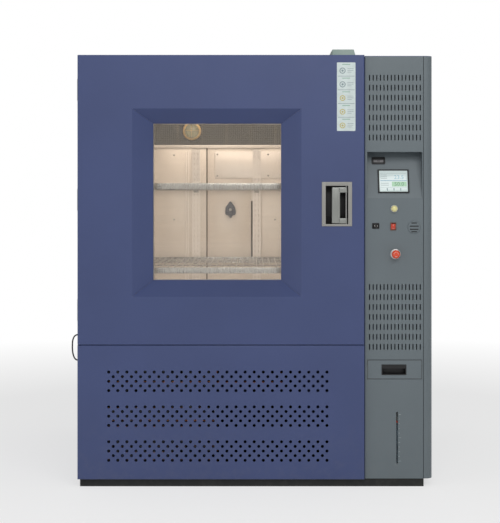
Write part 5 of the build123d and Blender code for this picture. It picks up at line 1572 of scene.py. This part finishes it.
def makeCirculationFan():
    x, z = fan["at"]
    at = (x, 0, z)
    y0, y1 = baffleY + fan["y"][0], baffleY + fan["y"][1]
    inner, radius = fan["inner"], fan["radius"]
    outline = []
    for side in (1, -1):
        run = [(inner + (radius - 0.006 - inner) * t,
                fan["bladeArch"] * math.sin(math.pi * t * 0.6) + side * fan["bladeThick"] / 2)
               for t in (0, 0.25, 0.5, 0.75, 1.0)]
        outline += run[::side]
    pattern = Shape().slab(outline, "y", y0, y1 - 0.002).made("pattern", aluminium)
    wheel = spun(pattern, fan["blades"], at, aluminium)
    body = Shape()
    body.disc(radius, y1 - 0.003, y1, at, sides=72)
    body.disc(radius, y0, y0 + 0.002, at, sides=72, hole=inner - 0.004)
    body.turned([(0, y0 + 0.02), (0.018, y0 + 0.02), (0.022, y0 + 0.026), (0.022, y1 + 0.008),
                 (0, y1 + 0.008)], at, sides=40)
    body.disc(fan["shaft"], y0 + 0.005, fan["shaftEnd"], at, sides=24, finish=1)
    fixed(joined("circulationWheel", wheel, body.made("hub", aluminium, brightSteel)), "circulation_fan",
          "circulation_fan", slot="aluminium")


def axialBlade():
    # a thin arched sheet whose pitch eases towards the tip, given its thickness last
    part = bmesh.new()
    rows = []
    for i in range(axial["steps"] + 1):
        t = i / axial["steps"]
        radius = axial["inner"] + (axial["radius"] - axial["inner"]) * t
        chord = axial["chord"] + axial["swell"] * math.sin(math.pi * min(1.0, t * 0.9))
        pitch = math.radians(axial["pitch"][0] - axial["pitch"][1] * t)
        row = []
        for k in range(axial["points"] + 1):
            s = k / axial["points"] - 0.5
            across, lift = chord * s, axial["camber"] * (1 - 4 * s * s)
            up = lift * math.cos(pitch) + across * math.sin(pitch)
            along = across * math.cos(pitch) - lift * math.sin(pitch) + axial["rake"] * t
            row.append(part.verts.new((radius, up, along)))
        rows.append(row)
    for first, second in zip(rows, rows[1:]):
        for k in range(axial["points"]):
            part.faces.new((first[k], first[k + 1], second[k + 1], second[k]))
    mesh = bpy.data.meshes.new("pattern")
    part.to_mesh(mesh)
    part.free()
    pattern = linked("pattern", mesh)
    thick = pattern.modifiers.new("thick", "SOLIDIFY")
    thick.thickness = axial["thick"]
    thick.offset = 0
    return flat(pattern)


def makeFans():
    makeCirculationFan()
    low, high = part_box("condenser_fan")
    x, z = axial["at"]
    at = (x, 0, z)
    wheel = spun(axialBlade(), axial["blades"], (x, low.y + 0.018, z), aluminium)
    end, radius = low.y + axial["hubLength"], axial["hub"]
    hub = Shape()
    hub.turned([(0, low.y), (radius - 0.006, low.y), (radius, low.y + 0.006), (radius, end), (0, end)],
               at,
               sides=40)
    hub.disc(axial["shaft"], end - 0.004, high.y, at, sides=20, finish=1)
    fixed(joined("condenserWheel", wheel, hub.made("hub", compressorBlack, brightSteel)), "condenser_fan",
          "condenser_fan", slot="aluminium")


# Coils: thin fins on rows of tube; heater: finned rods; compressor: a welded can on feet
coil = {"finStep": 0.0045, "fin": 0.0004, "finInset": 0.015, "plateInset": 0.010, "plate": 0.002,
        "tubeInset": 0.008, "tube": 0.0045, "bendOut": 0.007, "bendRise": (0.002, 0.008)}
heaterCoil = {"levels": (1.075, 1.095, 1.115), "rows": (0.470, 0.495), "tube": 0.0038, "plate": 0.003,
              "fins": 96, "finRadius": 0.0085, "finThick": 0.0008, "finInset": 0.02}
compressor = {
    "can": [(0, 0.060), (0.070, 0.060), (0.086, 0.066), (0.094, 0.082), (0.095, 0.100), (0.095, 0.196),
            (0.0975, 0.199), (0.0975, 0.205), (0.095, 0.208), (0.095, 0.285), (0.092, 0.306),
            (0.082, 0.327), (0.060, 0.343), (0.030, 0.349), (0, 0.350)],
    "plateHalf": 0.080, "plateZ": (0.053, 0.061), "box": (0.080, 0.112), "boxHalf": 0.030,
    "boxZ": (0.200, 0.270),
    "feet": (0.095, 0.065), "foot": [(0, 0.033), (0.012, 0.033), (0.0095, 0.043), (0.012, 0.053),
                                     (0, 0.053)],
    "bolt": (0.007, 0.061, 0.066),
}


def finnedBlock(name, x, y, z, tubes, material):
    # thin upright fins on a row of tubes, with end plates and return bends
    count = int((x[1] - x[0] - 2 * coil["finInset"]) / coil["finStep"])
    fins = rods("fins", barRow, count, (x[0] + coil["finInset"], sum(y) / 2, sum(z) / 2),
                (coil["finStep"], 0, 0), (coil["fin"], y[1] - y[0] - 0.004, z[1] - z[0] - 0.006),
                material)
    rest = Shape().border(inside(x, coil["plateInset"]), y, z, coil["plate"], 0.0006)
    middle = sum(y) / 2
    step = (z[1] - z[0]) / tubes
    levels = [z[0] + step * (i + 0.5) for i in range(tubes)]
    start, end = inside(x, coil["tubeInset"])
    for level in levels:
        rest.tube([(start, middle, level), (end, middle, level)], coil["tube"], 8, 1)
    near, far = coil["bendRise"]
    for i, (a, b) in enumerate(zip(levels, levels[1:])):
        side, out = (end, coil["bendOut"]) if i % 2 else (start, -coil["bendOut"])
        run = ((0, a), (out * 0.7, a + near), (out, a + far), (out, b - far), (out * 0.7, b - near),
               (0, b))
        rest.tube([(side + dx, middle, level) for dx, level in run], coil["tube"], 8, 1)
    return joined(name, fins, rest.made("rest", galvanised, copper))


def makeHeater():
    x, y, z = spans(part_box("heater_coil"))
    places = [(row, level) for level in heaterCoil["levels"] for row in heaterCoil["rows"]]
    heater = Shape()
    for plate in ends(x, heaterCoil["plate"]):
        heater.block(plate, y, z, 0.0006, 1)
    for row, level in places:
        heater.tube([(x[0] + 0.001, row, level), (x[1] - 0.001, row, level)], heaterCoil["tube"], 10)
    piece = heater.made("tubes", darkMesh, galvanised)
    start, end = inside(x, heaterCoil["finInset"])
    step = (end - start) / (heaterCoil["fins"] - 1)
    size = (heaterCoil["finRadius"], 0, heaterCoil["finThick"])
    rings = [rods("rings", rodRow, heaterCoil["fins"], (start, row, level), (step, 0, 0), size, darkMesh,
                  toRight)
             for row, level in places]
    fixed(joined("finnedHeater", piece, *rings), "cabinet", "heater_coil", slot="galvanised")


def makeCompressor():
    wide, deep, high = spans(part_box("compressor"))
    x, y = sum(wide) / 2, sum(deep) / 2
    can = Shape().turned(compressor["can"], (x, y, 0), "z", 64)
    can.block(wide, about(y, compressor["plateHalf"]), compressor["plateZ"], 0.003)
    near, far = compressor["box"]
    can.block((x + near, x + far), about(y, compressor["boxHalf"]), compressor["boxZ"], 0.006)
    for footX in about(x, compressor["feet"][0]):
        for footY in about(y, compressor["feet"][1]):
            can.turned(compressor["foot"], (footX, footY, 0), "z", 24, 1)
            can.disc(*compressor["bolt"], (footX, footY, 0), "z", 6, 2)
    fixed(can.made("compressorCan", compressorBlack, sealRubber, brightSteel), "cabinet", "compressor",
          slot="black_paint")


def makeCoils():
    for name, node, tubes in (("condenserCoil", "condenser_coil", 18),
                              ("evaporatorCoil", "evaporator_coil", 9)):
        fixed(finnedBlock(name, *spans(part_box(node)), tubes, aluminium), "cabinet", node,
              slot="aluminium")
    makeHeater()
    makeCompressor()


# Contactors in groups on rails, on the panel behind the column
electrics = {"plate": (0.002, -0.420, 0.420, 0.760, 1.600), "rails": (0.900, 1.150, 1.400),
             "railHalf": 0.0175,
             "railY": (-0.400, 0.400), "groups": 3, "groupFrom": -0.360, "groupStep": 0.270, "each": 3,
             "width": 0.050, "height": 0.045, "noseHeight": 0.026, "clampZ": 0.037}


def makeElectrics():
    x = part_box("electrical_panel")[0].x
    thick, y0, y1, z0, z1 = electrics["plate"]
    board = Shape()
    board.block((x, x + thick), (y0, y1), (z0, z1), 0.0004, 0)
    width, clampZ = electrics["width"], electrics["clampZ"]
    for z in electrics["rails"]:
        board.block((x + thick, x + 0.009), electrics["railY"], about(z, electrics["railHalf"]), 0.0008,
                    1)
        for i in range(electrics["groups"] * electrics["each"]):
            group, k = divmod(i, electrics["each"])
            a = electrics["groupFrom"] + electrics["groupStep"] * group + width * k
            unit = (a, a + width)
            board.block((x + 0.009, x + 0.070), inside(unit, 0.0008), about(z, electrics["height"]),
                        0.003, 2)
            board.block((x + 0.068, x + 0.085), inside(unit, 0.005), about(z, electrics["noseHeight"]),
                        0.003, 3)
            for b in (z - clampZ, z + clampZ):
                board.block((x + 0.068, x + 0.074), inside(unit, 0.008), about(b, 0.005), 0.001, 4)
    fixed(board.made("electricalBoard", galvanised, aluminium, blackPlastic, greyPlastic, brightSteel),
          "cabinet",
          "electrical_panel", slot="galvanised")


placeCamera()
dressNodes()
for make in (makeLowerPanel, makeColumnFront, makeOutlet, makeBaffle, makeShelves, makeUprights,
             makeChamberFittings, makeHandle, makeDisplay, makeControls, makeStrip, makeGasket,
             makeDrawer,
             makeCableParts, makeFixings, makeFans, makeCoils, makeElectrics):
    make()
    print("made", make.__name__)


# Lamps at a plain level, a white floor that keeps the shadow, and a white surround
warm = (1.0, 0.87, 0.74)
sky = {"strength": 0.42, "colour": (1.0, 1.0, 1.0)}
lamps = {
    "keyLamp": {"at": (0.9, -4.6, 3.6), "size": (3.6, 2.4), "power": 84.0, "target": (0, -0.6, 1.05)},
    "fillLamp": {"at": (-3.8, -3.6, 1.6), "size": (2.6, 2.6), "power": 16.0, "target": (0, -0.6, 0.9)},
    "insideLamp": {"at": (-0.14, -0.1, mouth["z1"] - 0.03), "size": (0.7, 0.6), "power": 2.4,
                   "target": (-0.14, -0.05, 1.0), "colour": warm},
    "faceLamp": {"at": (-0.14, -0.50, 1.15), "size": (0.9, 0.9), "power": 7.6,
                 "target": (-0.14, 0.4, 1.15), "colour": warm, "hidden": True},
}
ground = {"half": 30.0, "tone": 0.93, "white": 0.62, "clearFrom": 2.2, "clearTo": 5.0}


def softLamp(name, at, size, power, target, colour=(1, 1, 1), hidden=False):
    lamp = bpy.data.lights.new(name, "AREA")
    lamp.shape = "RECTANGLE"
    lamp.size, lamp.size_y = size
    lamp.energy = power
    lamp.color = colour
    holder = linked(name, lamp)
    holder.location = at
    holder.rotation_euler = (Vector(target) - Vector(at)).to_track_quat("-Z", "Y").to_euler()
    holder.visible_camera = not hidden
    holder.visible_glossy = not hidden
    holder.visible_transmission = not hidden


def lightStudio():
    for name, values in lamps.items():
        softLamp(name, **values)
    world = bpy.data.worlds.new("studio")
    bpy.context.scene.world = world
    world.use_nodes = True
    tree = Graph(world.node_tree)
    dome = world.node_tree.nodes["Background"]
    dome.inputs["Color"].default_value = (*sky["colour"], 1)
    dome.inputs["Strength"].default_value = sky["strength"]
    ray = tree.add("ShaderNodeLightPath")
    camera, through = (Wire(tree, ray.outputs[name]) for name in ("Is Camera Ray", "Is Transmission Ray"))
    white = tree.out("ShaderNodeBackground", None, {"Color": (1.0, 1.0, 1.0), "Strength": 1.0})
    both = tree.out("ShaderNodeMixShader", None,
                    {0: (camera + through).limited(), 1: Wire(tree, dome.outputs[0]), 2: white})
    world.node_tree.links.new(both.socket, world.node_tree.nodes["World Output"].inputs["Surface"])


def layFloor():
    half = ground["half"]
    mesh = bpy.data.meshes.new("floor")
    corners = [(-half, -half, 0), (half, -half, 0), (half, half, 0), (-half, half, 0)]
    mesh.from_pydata(corners, [], [(0, 1, 2, 3)])
    floor = linked("floor", mesh)
    f = Finish("studioFloor")
    f.dress({"Base Color": (ground["tone"],) * 3, "Roughness": 0.9, "Specular IOR Level": 0.1})
    ray = f.add("ShaderNodeLightPath")
    seen = (Wire(f, ray.outputs["Is Camera Ray"]) + Wire(f, ray.outputs["Is Glossy Ray"])
            + Wire(f, ray.outputs["Is Transmission Ray"])).limited()
    away = f.out("ShaderNodeVectorMath", {"operation": "LENGTH"}, {0: f.place}, 1)
    far = f.ramp(away, ground["clearFrom"], ground["clearTo"])
    glow = f.out("ShaderNodeEmission", None, {"Color": (1.0, 1.0, 1.0), "Strength": 1.0})
    share = seen * (far * (1 - ground["white"]) + ground["white"])
    both = f.out("ShaderNodeMixShader", None, {0: share, 1: Wire(f, f.shader.outputs[0]), 2: glow})
    f.tree.links.new(both.socket, f.tree.nodes["Material Output"].inputs["Surface"])
    mesh.materials.append(f.material)


lightStudio()
layFloor()
bpy.context.scene.view_settings.view_transform = "Standard"
print("studio lit")
